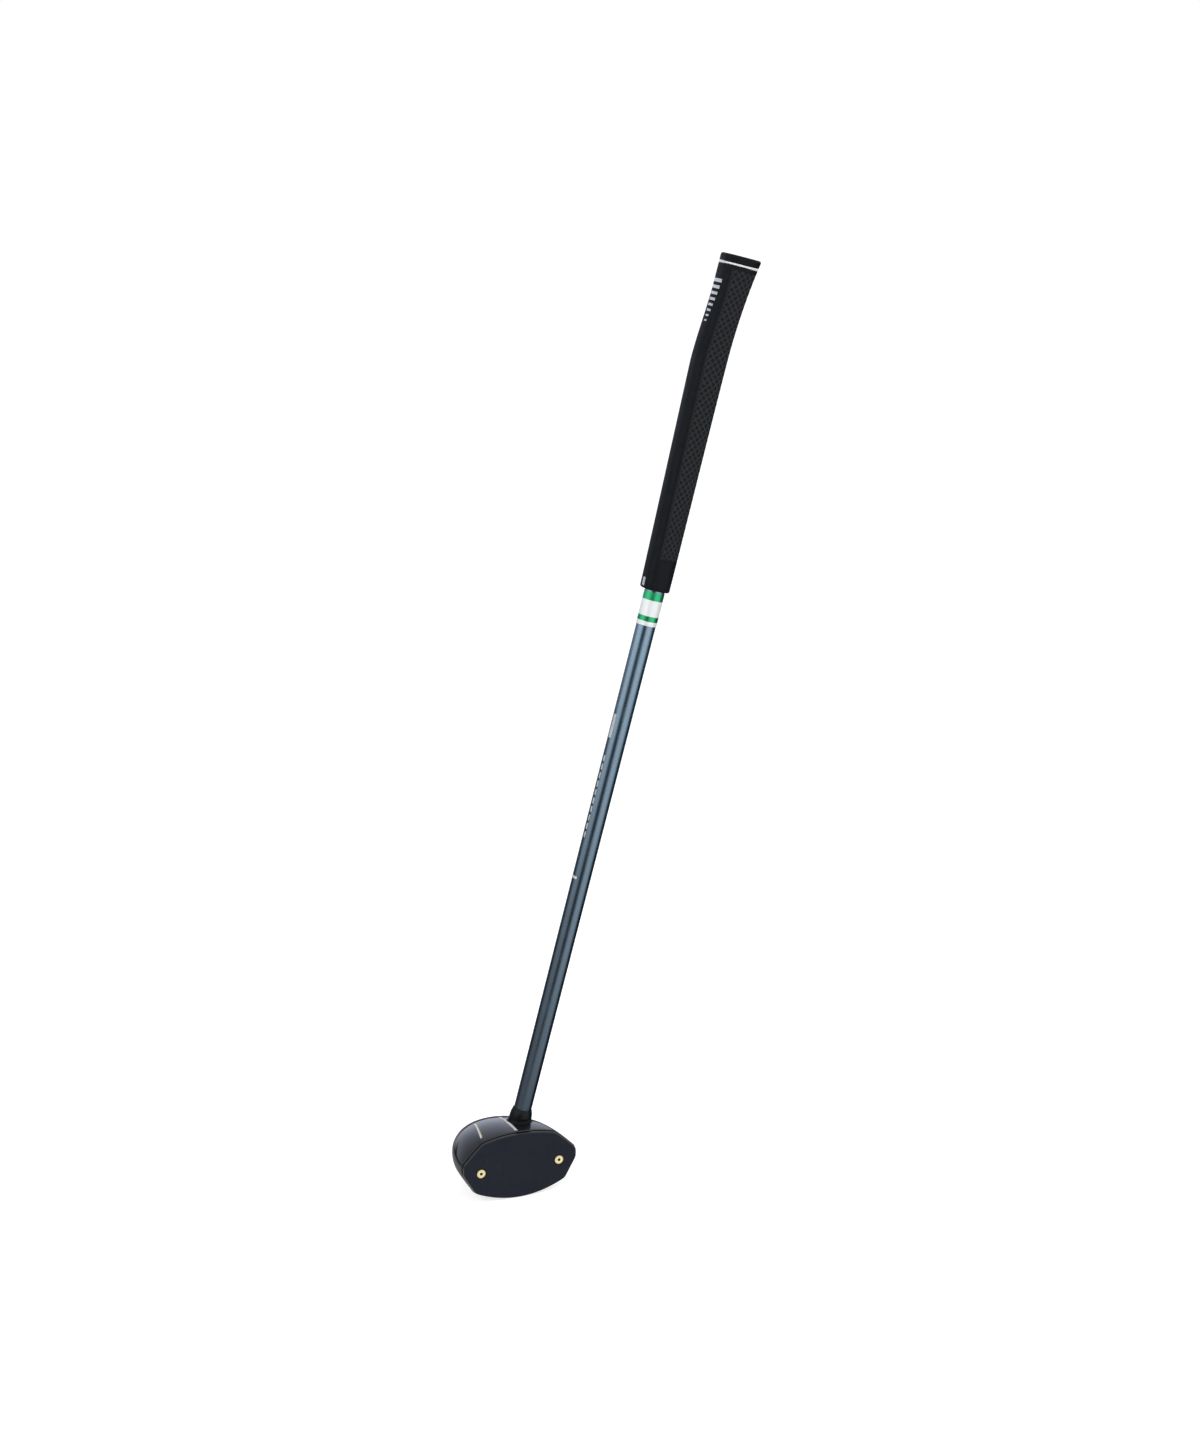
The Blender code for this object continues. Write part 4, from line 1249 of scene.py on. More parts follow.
@dataclass
class FacePlate:
    """The flat hitting plate, with round rims and two countersunk holes.

    The caps are the rows inside the rims that close the plate, by how far they are drawn in. A
    hole's mouth is this much wider, from so far above the front to so far below it.
    """

    form: HeadForm
    front: float = -0.0310
    thickness: float = 0.0030
    inset: float = 0.0008
    front_rim: float = 0.0011
    back_rim: float = 0.0004
    rim_rows: int = 7
    caps: Pair = (0.0012, 0.0010)
    screw_x: float = 0.0369
    screw_z: float = 0.0294
    head_radius: float = 0.0041
    shank_radius: float = 0.0019
    sink: float = 0.0002
    screw_rim: float = 0.0005
    mouth: Triple = (0.0004, 0.0002, 0.0003)
    drill_past: float = 0.002

    def screw_axis(self, side: Side, sunk: float = 0.0) -> Axis:
        """A screw's axis, which starts this far behind the plate's front and points forward."""
        foot = (side.value * self.screw_x, self.front + sunk, self.screw_z)
        return Axis(foot, (0.0, -1.0, 0.0), (1.0, 0.0, 0.0))

    def slab(self) -> Skin:
        """The plate before it is drilled: its outline, drawn in by quarter circles at both rims."""
        front_back, front_in = quarter(self.front_rim, self.rim_rows)
        back_on, back_in = quarter(self.back_rim, self.rim_rows)
        back = self.front + self.thickness
        insets = [self.front_rim + self.caps[0], *front_in[::-1]]
        insets += [*back_in, self.back_rim + self.caps[1]]
        depths = [self.front, *(self.front + front_back[::-1]), *(back - back_on), back]
        rows = []
        for inset, depth in zip(insets, depths):
            flat = self.form.inset_outline(self.inset + inset)
            rows.append(np.column_stack([flat[:, 0], np.full(len(flat), depth), flat[:, 1]]))
        return Skin(np.array(rows))

    def drill(self, side: Side) -> bpy.types.Object:
        """The tool that cuts one countersunk hole, as an object of its own."""
        cone = self.head_radius - self.shank_radius
        shelf = self.sink + self.screw_rim
        rim, hole = self.head_radius + SEAT, self.shank_radius + SEAT
        wider, above, below = self.mouth
        profile = [(rim + wider, above), (rim, -below), (rim, -shelf)]
        profile += [(hole, -shelf - cone), (hole, -self.thickness - self.drill_past)]
        skin = turned(np.array(profile), self.screw_axis(side), 64)
        tool = bpy.data.objects.new("drill", mesh_of("drill", [skin]))
        bpy.context.scene.collection.objects.link(tool)
        return tool

    def build(self, effects: Effects, finishes: Finishes) -> None:
        """Adds the plate, drilled."""
        laminate = finishes.plate.dress(effects)
        plate = add_piece("striking_plate", [self.slab()], laminate, ["face_plate"])
        tools = [self.drill(side) for side in Side]
        for tool in tools:
            cut = plate.modifiers.new("Drill", "BOOLEAN")
            cut.object = tool
            cut.operation = "DIFFERENCE"
            cut.solver = "EXACT"
        graph = bpy.context.evaluated_depsgraph_get()
        drilled = bpy.data.meshes.new_from_object(plate.evaluated_get(graph))
        plate.modifiers.clear()
        plate.data = drilled
        drilled.set_sharp_from_angle(angle=SMOOTH_ANGLE)
        for tool in tools:
            bpy.data.objects.remove(tool, do_unlink=True)


@dataclass
class FaceScrew:
    """A countersunk wood screw with a hexagonal socket and a rolled thread.

    The floor is the share of the socket that its floor keeps, and how far it dips. The socket's
    edge is eased so far out and down, the land is a row on the head's flat, and the edge rows are
    each drawn in and down. The thread's rows start this far below the head, the blend is the length
    over which it grows, and the point keeps the blunt share of the shank.
    """

    side: Side
    plate: FacePlate
    length: float = 0.0240
    point: float = 0.0035
    blunt: float = 0.03
    flats: float = 0.0025
    socket_depth: float = 0.0016
    floor: Pair = (0.60, 0.0004)
    socket_ease: Pair = (0.00010, 0.00015)
    land: float = 0.0021
    edge_rows: tuple[Pair, ...] = ((0.0006, 0.0), (0.0001, 0.0001), (0.0, 0.0003))
    pitch: float = 0.0018
    thread: float = 0.00035
    blend: float = 0.003
    below: float = 0.0005
    rows: int = 150
    columns: int = 72
    # shares of painted shade on the head's edge rows and down the shank
    head_edge_shade: Triple = (0.3, 1.0, 1.0)
    shank_shade: float = 0.6

    def head(self, angle: np.ndarray) -> list[tuple[np.ndarray, float]]:
        """Radius and height of the head's rows, from the socket's floor to the neck.

        Three are the socket, two its eased edge and the land, three the head's edge and two the
        cone. The socket's radius at an angle a is half its flats over cos(a), folded every 60
        degrees.
        """
        hexagon = self.flats / 2 / np.cos((angle + pi / 6) % (pi / 3) - pi / 6)
        edge, shank, rim = self.plate.head_radius, self.plate.shank_radius, self.plate.screw_rim
        (share, dip), (out, down) = self.floor, self.socket_ease
        rows = [
            (share * hexagon, -self.socket_depth - dip),
            (hexagon, -self.socket_depth),
            (hexagon, -down),
            (hexagon + out, 0.0),
            (self.land, 0.0),
            *((edge - inset, -drop) for inset, drop in self.edge_rows),
            (edge, -rim),
            (shank, -rim - (edge - shank)),
        ]
        return [(radius + 0 * angle, height) for radius, height in rows]

    def skin(self) -> Skin:
        """The screw from the socket's floor over the head and down the thread to the point.

        The thread cuts the shank by a triangle wave of depth over pitch less turns. The mask "low"
        is painted shade, full at the head's edge and part way down the shank, and the mask "socket"
        paints shade in the socket.

        Returns:
            The surface.
        """
        angle = full_turn(self.columns)
        head = self.head(angle)
        neck = head[-1][1]
        low = np.linspace(neck - self.below, -self.length, self.rows)[:, None]
        taper = np.clip((low + self.length) / self.point, self.blunt, 1.0)
        turns = low / self.pitch - angle / (2 * pi)
        wave = np.abs(2 * (turns % 1.0) - 1) * smooth((neck - low) / self.blend)
        shank = (self.plate.shank_radius - self.thread * wave) * taper
        radius = np.concatenate([np.array([r for r, _ in head]), shank])
        height = np.concatenate([[h + 0 * angle for _, h in head], low + 0 * angle])
        # Masks of painted shade: the head's edge, down the shank, and the socket.
        painted_shade, socket = np.zeros_like(radius), np.zeros_like(radius)
        socket_rows, edge_rows = slice(0, 3), slice(5, 8)
        painted_shade[edge_rows] = np.array(self.head_edge_shade)[:, None]
        painted_shade[edge_rows.stop :] = self.shank_shade
        socket[socket_rows] = 1.0
        points = self.plate.screw_axis(self.side, self.plate.sink).about(radius, angle, height)
        return Skin(points, masks={"low": painted_shade, "socket": socket})

    def build(self, material: bpy.types.Material) -> None:
        """Adds the screw."""
        side = self.side.name.lower()
        add_piece(
            f"plate_screw_{side}", [self.skin()], material, [f"face_screw_{side}"]
        )


@dataclass
class Shaft:
    """The tapered tube, the collar at its foot, the film round it under the grip, and its accents.

    The lines are the lowest height, the end, the step and the length of a row of short strokes, and
    a dash is two heights and a width.
    """

    tip: float = NECK_TOP - 0.0285
    butt: float = 0.837
    tip_radius: float = 0.0078
    butt_radius: float = 0.0093
    wall: float = 0.0013
    columns: int = 128
    rows: int = 90
    collar_length: float = 0.0080
    collar_body: float = 0.0038
    collar_radius: float = 0.0097
    collar_lip: float = 0.0004
    collar_cuts: Triple = (0.0001, 0.0010, 0.0003)
    neck_radius: float = 0.0101
    band_bottom: float = 0.5238
    band_top: float = 0.5535
    band_gap: float = 0.0002
    band_wall: float = 0.0002
    band_ease: float = 0.00008
    accent_angle: float = radians(192)
    accent_lift: float = 0.00004
    accent_sink: float = 0.0002
    accent_grid: tuple[int, int] = (8, 9)
    lines: Span = (0.3287, 0.4008, 0.0078, 0.0052)
    line_width: float = 0.0018
    dashes: tuple[Triple, ...] = (
        (0.4204, 0.4418, 0.0034),
        (0.2906, 0.2930, 0.0066),
    )

    def radius(self, height: np.ndarray) -> np.ndarray:
        """The tube's outer radius at a height: it grows evenly from tip to butt."""
        share = (height - self.tip) / (self.butt - self.tip)
        return self.tip_radius + (self.butt_radius - self.tip_radius) * share

    def tube(self) -> Skin:
        """The tube: up its outside, over the upper end, down its inside and back."""
        low = self.tip + SEAT
        height = np.linspace(low, self.butt, self.rows)
        outside = np.column_stack([self.radius(height), height])
        inside = np.array([[self.radius(h) - self.wall, h] for h in (self.butt, low)])
        return turned(np.concatenate([outside, inside]), SHAFT_AXIS, self.columns, ring=True)

    def collar(self) -> Skin:
        """The collar: straight over the neck's top, then drawn in to the shaft, corners eased."""
        bottom, shoulder, top = (
            NECK_TOP + rise for rise in (SEAT, self.collar_body, self.collar_length)
        )
        lip, turn, foot = self.collar_cuts
        profile = [
            (self.radius(top) + SEAT, top, 0.0),
            (self.radius(top) + SEAT + self.collar_lip, top, lip),
            (self.collar_radius, shoulder, turn),
            (self.neck_radius, bottom, foot),
            (self.radius(bottom) + SEAT, bottom, 0.0),
        ]
        return turned(rounded(profile, ring=True), SHAFT_AXIS, self.columns, ring=True)

    def band(self) -> Skin:
        """The film: a sleeve that follows the taper, with its outer edges eased."""
        inside, outside = (self.band_gap, 0.0), (self.band_gap + self.band_wall, self.band_ease)
        profile = [
            (self.radius(height) + gap, height, ease)
            for height, gap, ease in (
                (self.band_top, *inside),
                (self.band_top, *outside),
                (self.band_bottom, *outside),
                (self.band_bottom, *inside),
            )
        ]
        return turned(rounded(profile, ring=True), SHAFT_AXIS, self.columns, ring=True)

    def accent(self, low: float, high: float, width: float) -> Skin:
        """A film on the tube between two heights, this wide round it."""
        rows, columns = self.accent_grid
        height = np.linspace(low, high, rows)[:, None]
        radius = self.radius(height)
        angle = self.accent_angle + np.linspace(-0.5, 0.5, columns) * width / radius
        outward = SHAFT_AXIS.outward(np.cos(angle), np.sin(angle))
        points = SHAFT_AXIS.about(radius, angle, height + 0 * angle)
        return film(points, outward, self.accent_lift, self.accent_sink)

    def build(self, effects: Effects, finishes: Finishes) -> None:
        """Adds the tube, the collar, the film and the accents."""
        paint, collar = finishes.paint.dress(effects), finishes.collar.dress(effects)
        band, silver = finishes.band.dress(effects), finishes.silver.dress(effects)
        start, end, step, length = self.lines
        accents = [(low, low + length, self.line_width) for low in np.arange(start, end, step)]
        accents = [self.accent(*accent) for accent in (*accents, *self.dashes)]
        add_piece("shaft_tube", [self.tube()], paint, ["shaft"])
        add_piece("ferrule_collar", [self.collar()], collar, ["ferrule"])
        add_piece("label_film", [self.band()], band, ["label_band"])
        add_piece("shaft_accents", accents, silver)


@dataclass
class GripForm:
    """The grip's form: a section square in front and round behind, whose reach changes up the club.

    The front has a reach at the mouth, the bulge and the end, the rear at the mouth, the waist and
    the end, and the sides at the mouth and the end.
    """

    top: float = 0.849
    length: float = 0.2940
    front: Triple = (0.0123, 0.0188, 0.0152)
    rear: Triple = (0.0127, 0.0114, 0.01998)
    side: Pair = (0.0118, 0.0135)
    bulge_drop: float = 0.0950
    bulge_fade: float = 0.0700
    flare_drop: float = 0.0880
    flare_power: float = 1.9
    front_square: float = 3.4
    rear_square: float = 2.1
    strip_lift: float = 0.00006
    strip_sink: float = 0.0003
    strip_grid: tuple[int, int] = (8, 11)

    @property
    def mouth(self) -> float:
        """Height of the grip's lower end."""
        return self.top - self.length

    def reach(self, height: np.ndarray) -> tuple[np.ndarray, np.ndarray, np.ndarray]:
        """How far the front, the rear and the sides stand from the axis at each height.

        The front grows evenly to its bulge and eases back, the rear narrows with no kink and flares
        by a power, and the sides widen with no kink.
        """
        bulge, waist = self.top - self.bulge_drop, self.top - self.flare_drop
        up = height - self.mouth
        climb = np.minimum(up / (bulge - self.mouth), 1.0)
        front = self.front[0] + (self.front[1] - self.front[0]) * climb
        front = front + (self.front[2] - self.front[1]) * smooth((height - bulge) / self.bulge_fade)
        narrowing = smooth(up / (waist - self.mouth))
        rear = self.rear[0] + (self.rear[1] - self.rear[0]) * narrowing
        flare = np.maximum((height - waist) / self.flare_drop, 0.0) ** self.flare_power
        rear = rear + (self.rear[2] - self.rear[1]) * flare
        side = self.side[0] + (self.side[1] - self.side[0]) * smooth(up / self.length)
        return front, rear, side

    def flat_section(self, height: np.ndarray, angle: np.ndarray, inset: np.ndarray) -> tuple:
        """x and y of the section: reach |cos a|^(2/p), side |sin a|^(2/p), with p for each half."""
        front, rear, side = self.reach(height)
        along, across = np.cos(angle), np.sin(angle)
        power = np.where(along > 0, 2 / self.rear_square, 2 / self.front_square)
        reach = np.where(along > 0, rear, front) - inset
        x = reach * np.abs(along) ** power * np.sign(along)
        y = (side - inset) * np.abs(across) ** power * np.sign(across)
        return x, y

    def front_strip(self, low: float, high: float, half: float) -> Skin:
        """A film on the flat front between two heights: x = -front (1 - |y / side|^p)^(1/p)."""
        rows, columns = self.strip_grid
        height = np.linspace(low, high, rows)[:, None]
        front, _, side = self.reach(height)
        y = np.linspace(-half, half, columns)[None, :] + 0 * height
        p = self.front_square
        x = -front * (1 - np.abs(y / side) ** p) ** (1 / p)
        nx = -(np.abs(x) ** (p - 1)) / front**p
        ny = np.sign(y) * np.abs(y) ** (p - 1) / side**p
        long = np.hypot(nx, ny)
        outward = SHAFT_AXIS.outward(nx / long, ny / long)
        return film(SHAFT_AXIS.place(x, y, height), outward, self.strip_lift, self.strip_sink)


@dataclass
class Grip:
    """The grip: a rubber sleeve with a diamond knurl behind a plain front, a ring and a cap.

    The knurl is square cells, counted round half of the grip, and each has the same steps both
    ways. Its fades are cells and shares of a cell over which it ends at its sides and ends, and its
    border is a share of the groove's depth, this many cells wide. A bar is two heights and half a
    width, and so is the dash by the mouth.
    """

    form: GripForm
    knurl_low: float = 0.5836
    knurl_high: float = 0.8372
    cell: float = 0.00648
    cells_half: float = 5.5
    steps: int = 12
    walk: int = 720
    strip_depth: float = 0.0060
    strip_columns: int = 13
    groove: float = 0.00045
    groove_half: float = 0.26
    side_fade: Pair = (0.04, 0.12)
    end_fade: float = 0.15
    border: Pair = (0.55, 0.10)
    bore: float = 0.0102
    mouth_edge: float = 0.0016
    mouth_rows: int = 6
    plain_rows: int = 18
    crown_rows: int = 5
    ring_base: float = 0.8405
    ring_height: float = 0.0016
    ring_ease: float = 0.00025
    cap_base: float = 0.8424
    cap_ease: float = 0.0003
    cap_edge: float = 0.0020
    cap_rows: int = 9
    cap_flat: Pair = (0.0015, 0.0045)
    stem_radius: float = 0.0077
    stem_foot: float = 0.8210
    stem_ease: float = 0.0010
    around: int = 180
    bars: tuple[Triple, ...] = (
        (0.8236, 0.8266, 0.0075),
        (0.8181, 0.8208, 0.0068),
        (0.8128, 0.8153, 0.0060),
        (0.8077, 0.8100, 0.0052),
        (0.8028, 0.8049, 0.0044),
        (0.7981, 0.8000, 0.0036),
        (0.7936, 0.7953, 0.0028),
        (0.7893, 0.7908, 0.0020),
    )
    dash: Triple = (0.5574, 0.5646, 0.0022)

    @property
    def knurl_columns(self) -> int:
        """Steps round the knurled half of one side."""
        return int(self.cells_half * self.steps)

    def columns(self, height: np.ndarray, inset: np.ndarray) -> tuple[np.ndarray, np.ndarray]:
        """The section's points at each height, set out evenly by length.

        Each half is walked from the front to the rear. The first columns share out the plain front
        strip, which is as deep as the strip depth, and the rest share out the knurl.

        Args:
            height: heights of the rows, as a column.
            inset: how far each row is drawn in.

        Returns:
            x and y, rows by columns.
        """
        x, y = self.form.flat_section(height, np.linspace(pi, 0.0, self.walk)[None, :], inset)
        length = running(np.stack([x, y], axis=-1), 1)
        edge = x[:, :1] + self.strip_depth
        border = np.take_along_axis(length, (x < edge).sum(axis=1)[:, None], axis=1)
        strip = border * np.linspace(0.0, 1.0, self.strip_columns, endpoint=False)
        shares = np.linspace(0.0, 1.0, self.knurl_columns + 1)
        target = np.concatenate([strip, border + (length[:, -1:] - border) * shares], axis=1)
        after = np.clip((length[:, None, :] < target[:, :, None]).sum(axis=2), 1, self.walk - 1)

        def ends(values: np.ndarray) -> list[np.ndarray]:
            """The values before and after each target."""
            return [np.take_along_axis(values, after - back, axis=1) for back in (1, 0)]

        low, high = ends(length)
        share = (target - low) / np.maximum(high - low, TINY)
        x, y = (before + (beyond - before) * share for before, beyond in map(ends, (x, y)))
        across = np.concatenate([x, x[:, -2:0:-1]], axis=1)
        return across, np.concatenate([y, -y[:, -2:0:-1]], axis=1)

    def knurl_depth(self, height: np.ndarray, columns: int) -> np.ndarray:
        """How deep the knurl is cut, as a share of the groove.

        With q the cells round from the rear and r the cells up, a groove runs wherever q + r or
        q - r is whole, and it is a smooth V of that distance. A finer groove borders the knurl.

        Args:
            height: heights of the rows, as a column.
            columns: how many columns go round the grip.

        Returns:
            The share, rows by columns.
        """
        half = self.strip_columns + self.knurl_columns
        number = np.arange(columns)
        q = (half - np.minimum(number, columns - number)) / self.steps
        q = np.where(number > half, -q, q)[None, :]
        r = (height - self.knurl_low) / self.cell
        inset, fade = self.side_fade
        inside = smooth((self.cells_half - inset - np.abs(q)) / fade) * smooth(r / self.end_fade)
        inside = inside * smooth((self.knurl_high - height) / self.cell / self.end_fade)

        def trench(value: np.ndarray) -> np.ndarray:
            """1 on a whole number, falling with no kink to 0 at the groove's half width."""
            return 1 - smooth(np.abs(value - np.round(value)) / self.groove_half)

        cut = np.maximum(trench(q + r), trench(q - r)) * inside
        share, width = self.border
        border = 1 - smooth(np.abs(np.abs(q) - self.cells_half) / width)
        border = border * (height >= self.knurl_low) * (height <= self.knurl_high)
        return np.maximum(cut, share * border)

    def sleeve(self) -> Skin:
        """The sleeve: a rounded mouth, then the knurl cut inward, and the bore as its inside."""
        mouth, top = self.form.mouth, self.ring_base - SEAT
        rows_up = round((self.knurl_high - self.knurl_low) / self.cell * self.steps)
        edge_inset, edge_height = quarter(self.mouth_edge, self.mouth_rows)
        plain = np.linspace(mouth + self.mouth_edge, self.knurl_low, self.plain_rows)[1:-1]
        knurl = np.linspace(self.knurl_low, self.knurl_high, rows_up + 1)
        crown = np.linspace(self.knurl_high, top, self.crown_rows)[1:]
        height = np.concatenate([mouth + edge_height, plain, knurl, crown])[:, None]
        inset = np.zeros_like(height)
        inset[: len(edge_inset), 0] = edge_inset
        x, y = self.columns(height, inset)
        low = self.knurl_depth(height, x.shape[1])
        keep = 1 - low * self.groove / np.hypot(x, y)
        angle = np.arctan2(y[:1], x[:1])
        inner = np.array([[top], [mouth]])
        x = np.concatenate([x * keep, self.bore * np.cos(angle) + 0 * inner])
        y = np.concatenate([y * keep, self.bore * np.sin(angle) + 0 * inner])
        low = np.concatenate([low, np.zeros((2, x.shape[1]))])
        points = SHAFT_AXIS.place(x, y, np.concatenate([height, inner]) + 0 * x)
        return Skin(points, ring=True, masks={"low": low}, depth=low)

    def loft(self, rows: Sequence[Pair]) -> np.ndarray:
        """Sections of the grip's outline at heights, each drawn in by an inset."""
        height, inset = np.hsplit(np.array(rows), 2)
        x, y = self.form.flat_section(height, full_turn(self.around)[None, :], inset)
        return SHAFT_AXIS.place(x, y, height + 0 * x)

    def stem_rows(self, rows: Sequence[Pair]) -> np.ndarray:
        """Round rows about the axis, each of a radius and a height."""
        radius, height = np.hsplit(np.array(rows), 2)
        return SHAFT_AXIS.about(radius, full_turn(self.around), height)

    def ring(self) -> Skin:
        """The pale ring: the grip's outline with its two outer edges eased, and a round hole."""
        low, high, ease = self.ring_base, self.ring_base + self.ring_height, self.ring_ease
        outer = self.loft([(low, ease), (low + ease, 0.0), (high - ease, 0.0), (high, ease)])
        hole = self.stem_rows([(self.stem_radius + SEAT, height) for height in (high, low)])
        return Skin(np.concatenate([outer, hole]), ring=True)

    def cap(self) -> Skin:
        """The cap: its edge goes over in a quarter circle to a flat top, and its stem goes down."""
        base, top, stem = self.cap_base, self.form.top, self.stem_radius
        rows = [(base, self.cap_ease), (base + self.cap_ease, 0.0)]
        rows += [(top - drop, inset) for drop, inset in zip(*quarter(self.cap_edge, self.cap_rows))]
        rows += [(top, self.cap_edge + more) for more in self.cap_flat]
        foot = [(stem - self.stem_ease, self.stem_foot), (stem, self.stem_foot + self.stem_ease)]
        return Skin(np.concatenate([self.stem_rows([*foot, (stem, base)]), self.loft(rows)]))

    def build(self, effects: Effects, finishes: Finishes) -> None:
        """Adds the sleeve, the ring, the cap, the bars and the dash by the mouth."""
        rubber, ring = finishes.grip.dress(effects), finishes.ring.dress(effects)
        cap = finishes.cap.dress(effects)
        bars = [self.form.front_strip(*bar) for bar in (*self.bars, self.dash)]
        add_piece("grip_rubber_sleeve", [self.sleeve()], rubber, ["grip_sleeve"])
        add_piece("grip_end_ring", [self.ring()], ring, ["cap_ring"])
        add_piece("grip_end_cap", [self.cap()], cap, ["grip_cap"])
        add_piece("grip_bars", bars, finishes.silver.finished())


@dataclass(frozen=True)
class Sheet:
    """A sheet that stands round the club.

    Its angles are in degrees about the upright line through the club's foot, and its two rows are
    each a radius and a height. The colour is that of its glow.
    """

    name: str
    angles: Pair
    rows: tuple[Pair, Pair]
    colour: Colour = (1.0, 1.0, 1.0)

    def grid(self, columns: int = 97) -> np.ndarray:
        """A row (r, z) goes to r cos a, r sin a, z, with a running between the two angles."""
        turn = np.radians(np.linspace(*self.angles, columns))[None, :]
        radius, height = np.hsplit(np.array(self.rows), 2)
        return np.stack([radius * np.cos(turn), radius * np.sin(turn), height + 0 * turn], axis=-1)


@dataclass(frozen=True)
class Lamp:
    """A soft rectangular lamp: its middle, its width and height, and its power."""

    name: str
    centre: Triple
    size: Pair
    power: float


@dataclass
class Studio:
    """The set: camera, floor, lamps, the light all round, and glowing sheets of painted reflection.

    A sector is four angles in degrees about the upright line through the club's foot: where it
    starts, is full, is last full and ends. The left, right, behind and front ones are dark. A fade
    is two distances or heights between which something comes or goes, or four where it does both,
    and a ramp is a fade with the two tones at its ends.
    """

    place: Triple = (-0.761093, -2.089427, 1.061137)
    right: Triple = (0.924405, -0.381273, -0.010360)
    up: Triple = (0.112959, 0.247725, 0.962223)
    forward: Triple = (0.364303, 0.890653, -0.272066)
    lens: float = 67.325
    clip: Pair = (0.05, 200.0)
    sky: float = 0.55
    floor_half: float = 12.0
    floor_colour: Colour = (0.82, 0.82, 0.82)
    floor_glow: float = 0.62
    aim: Triple = (0.08, 0.0, 0.40)
    lamps: tuple[Lamp, ...] = (
        Lamp("softbox_left", (-2.3, -1.5, 1.5), (1.6, 2.2), 36.0),
        Lamp("softbox_right", (2.2, -1.7, 1.3), (1.6, 2.4), 30.0),
    )
    dark: float = 0.04
    cool: Colour = (0.35, 1.20, 1.70)
    cool_end: float = 0.40
    left: Span = (98.0, 110.0, 130.0, 172.0)
    right_rear: Span = (-50.0, -8.0, 45.0, 66.0)
    behind: Span = (42.0, 56.0, 82.0, 108.0)
    front: Span = (-165.0, -128.0, -116.0, -79.0)
    cloths: Sheet = Sheet(
        "cloths", (0.0, 360.0), ((0.015, 0.0006), (11.0, 0.0006)), (0.98, 0.99, 1.0)
    )
    grey_sector: Span = (6.0, 14.0, 170.0, 180.0)
    grey_ramp: Span = (0.06, 1.5, 0.42, 0.85)
    left_ramp: Span = (0.2, 0.7, 0.3, 1.0)
    right_fade: Pair = (0.07, 0.12)
    front_fade: Pair = (0.4, 1.3)
    behind_fade: Span = (0.1, 0.2, 1.9, 2.8)
    behind_share: float = 0.8
    wall: Sheet = Sheet(
        "wall_behind", (20.0, 175.0), ((6.0, 0.0), (6.0, 6.5)), (0.90, 0.97, 1.16)
    )
    wall_ramp: Span = (1.1, 3.9, 1.0, 0.30)
    heel_fade: Pair = (57.0, 72.0)
    heel_tone: float = 0.50
    toe_ramp: Span = (88.0, 122.0, 1.0, 0.5)
    white_fade: Pair = (134.0, 150.0)
    foot_fade: Pair = (0.45, 0.80)
    screen_left: Sheet = Sheet("screen_left", (140.0, 214.0), ((1.5, 0.0), (1.5, 0.8)))
    screen_fade: Pair = (0.25, 0.60)
    screen_tone: float = 0.5
    screen_front: Sheet = Sheet("screen_front", (192.0, 284.0), ((6.0, 0.0), (6.0, 2.6)))
    top_fade: Pair = (1.5, 2.6)

    def camera(self) -> None:
        """Sets up the camera at the photograph's place and angle."""
        data = bpy.data.cameras.new("camera")
        data.lens = self.lens
        data.clip_start, data.clip_end = self.clip
        item = bpy.data.objects.new("camera", data)
        back = tuple(-value for value in self.forward)
        turn = Matrix((self.right, self.up, back)).transposed().to_4x4()
        item.matrix_world = Matrix.Translation(self.place) @ turn
        bpy.context.scene.collection.objects.link(item)
        bpy.context.scene.camera = item

    @staticmethod
    def seen(bench: Bench) -> Socket:
        """1 for the rays of the camera, of gloss and of glass, 0 for those that carry light."""
        path = bench.add("LightPath").outputs
        gloss = bench.maths("MAXIMUM", path["Is Glossy Ray"], path["Is Transmission Ray"])
        return bench.maths("MAXIMUM", gloss, path["Is Camera Ray"])

    def world(self) -> None:
        """A white surround, and softer light from it on the club."""
        world = bpy.data.worlds.new("surround")
        world.use_nodes = True
        bench = Bench(world.node_tree)
        strength = bench.blend(self.seen(bench), self.sky, 1.0)
        background = world.node_tree.nodes["Background"]
        bench.fill(background, {"Color": (1.0, 1.0, 1.0, 1.0), "Strength": strength})
        bpy.context.scene.world = world

    @staticmethod
    def add_sheet(name: str, grid: np.ndarray) -> tuple[bpy.types.Object, Bench]:
        """Adds a part of the set.

        Args:
            name: its name.
            grid: its points, rows by columns by 3.

        Returns:
            The object, and the bench of its new material.
        """
        numbers = np.arange(grid.shape[0] * grid.shape[1]).reshape(grid.shape[:2])
        mesh = bpy.data.meshes.new(name)
        mesh.from_pydata(grid.reshape(-1, 3), [], four(numbers))
        item = bpy.data.objects.new(name, mesh)
        bpy.context.scene.collection.objects.link(item)
        material = bpy.data.materials.new(name)
        material.use_nodes = True
        mesh.materials.append(material)
        return item, Bench(material.node_tree)

    def floor(self) -> None:
        """A plain pale floor that keeps the shadow and comes out white where no shadow falls."""
        ends = (-self.floor_half, self.floor_half)
        _, bench = self.add_sheet("floor", np.array([[(x, y, 0.0) for x in ends] for y in ends]))
        bench.finish(Base_Color=(*self.floor_colour, 1.0), Roughness=1.0, Specular_IOR_Level=0.0)
        glow = bench.times(self.seen(bench), self.floor_glow)
        bench.finish(Emission_Color=(1.0, 1.0, 1.0, 1.0), Emission_Strength=glow)

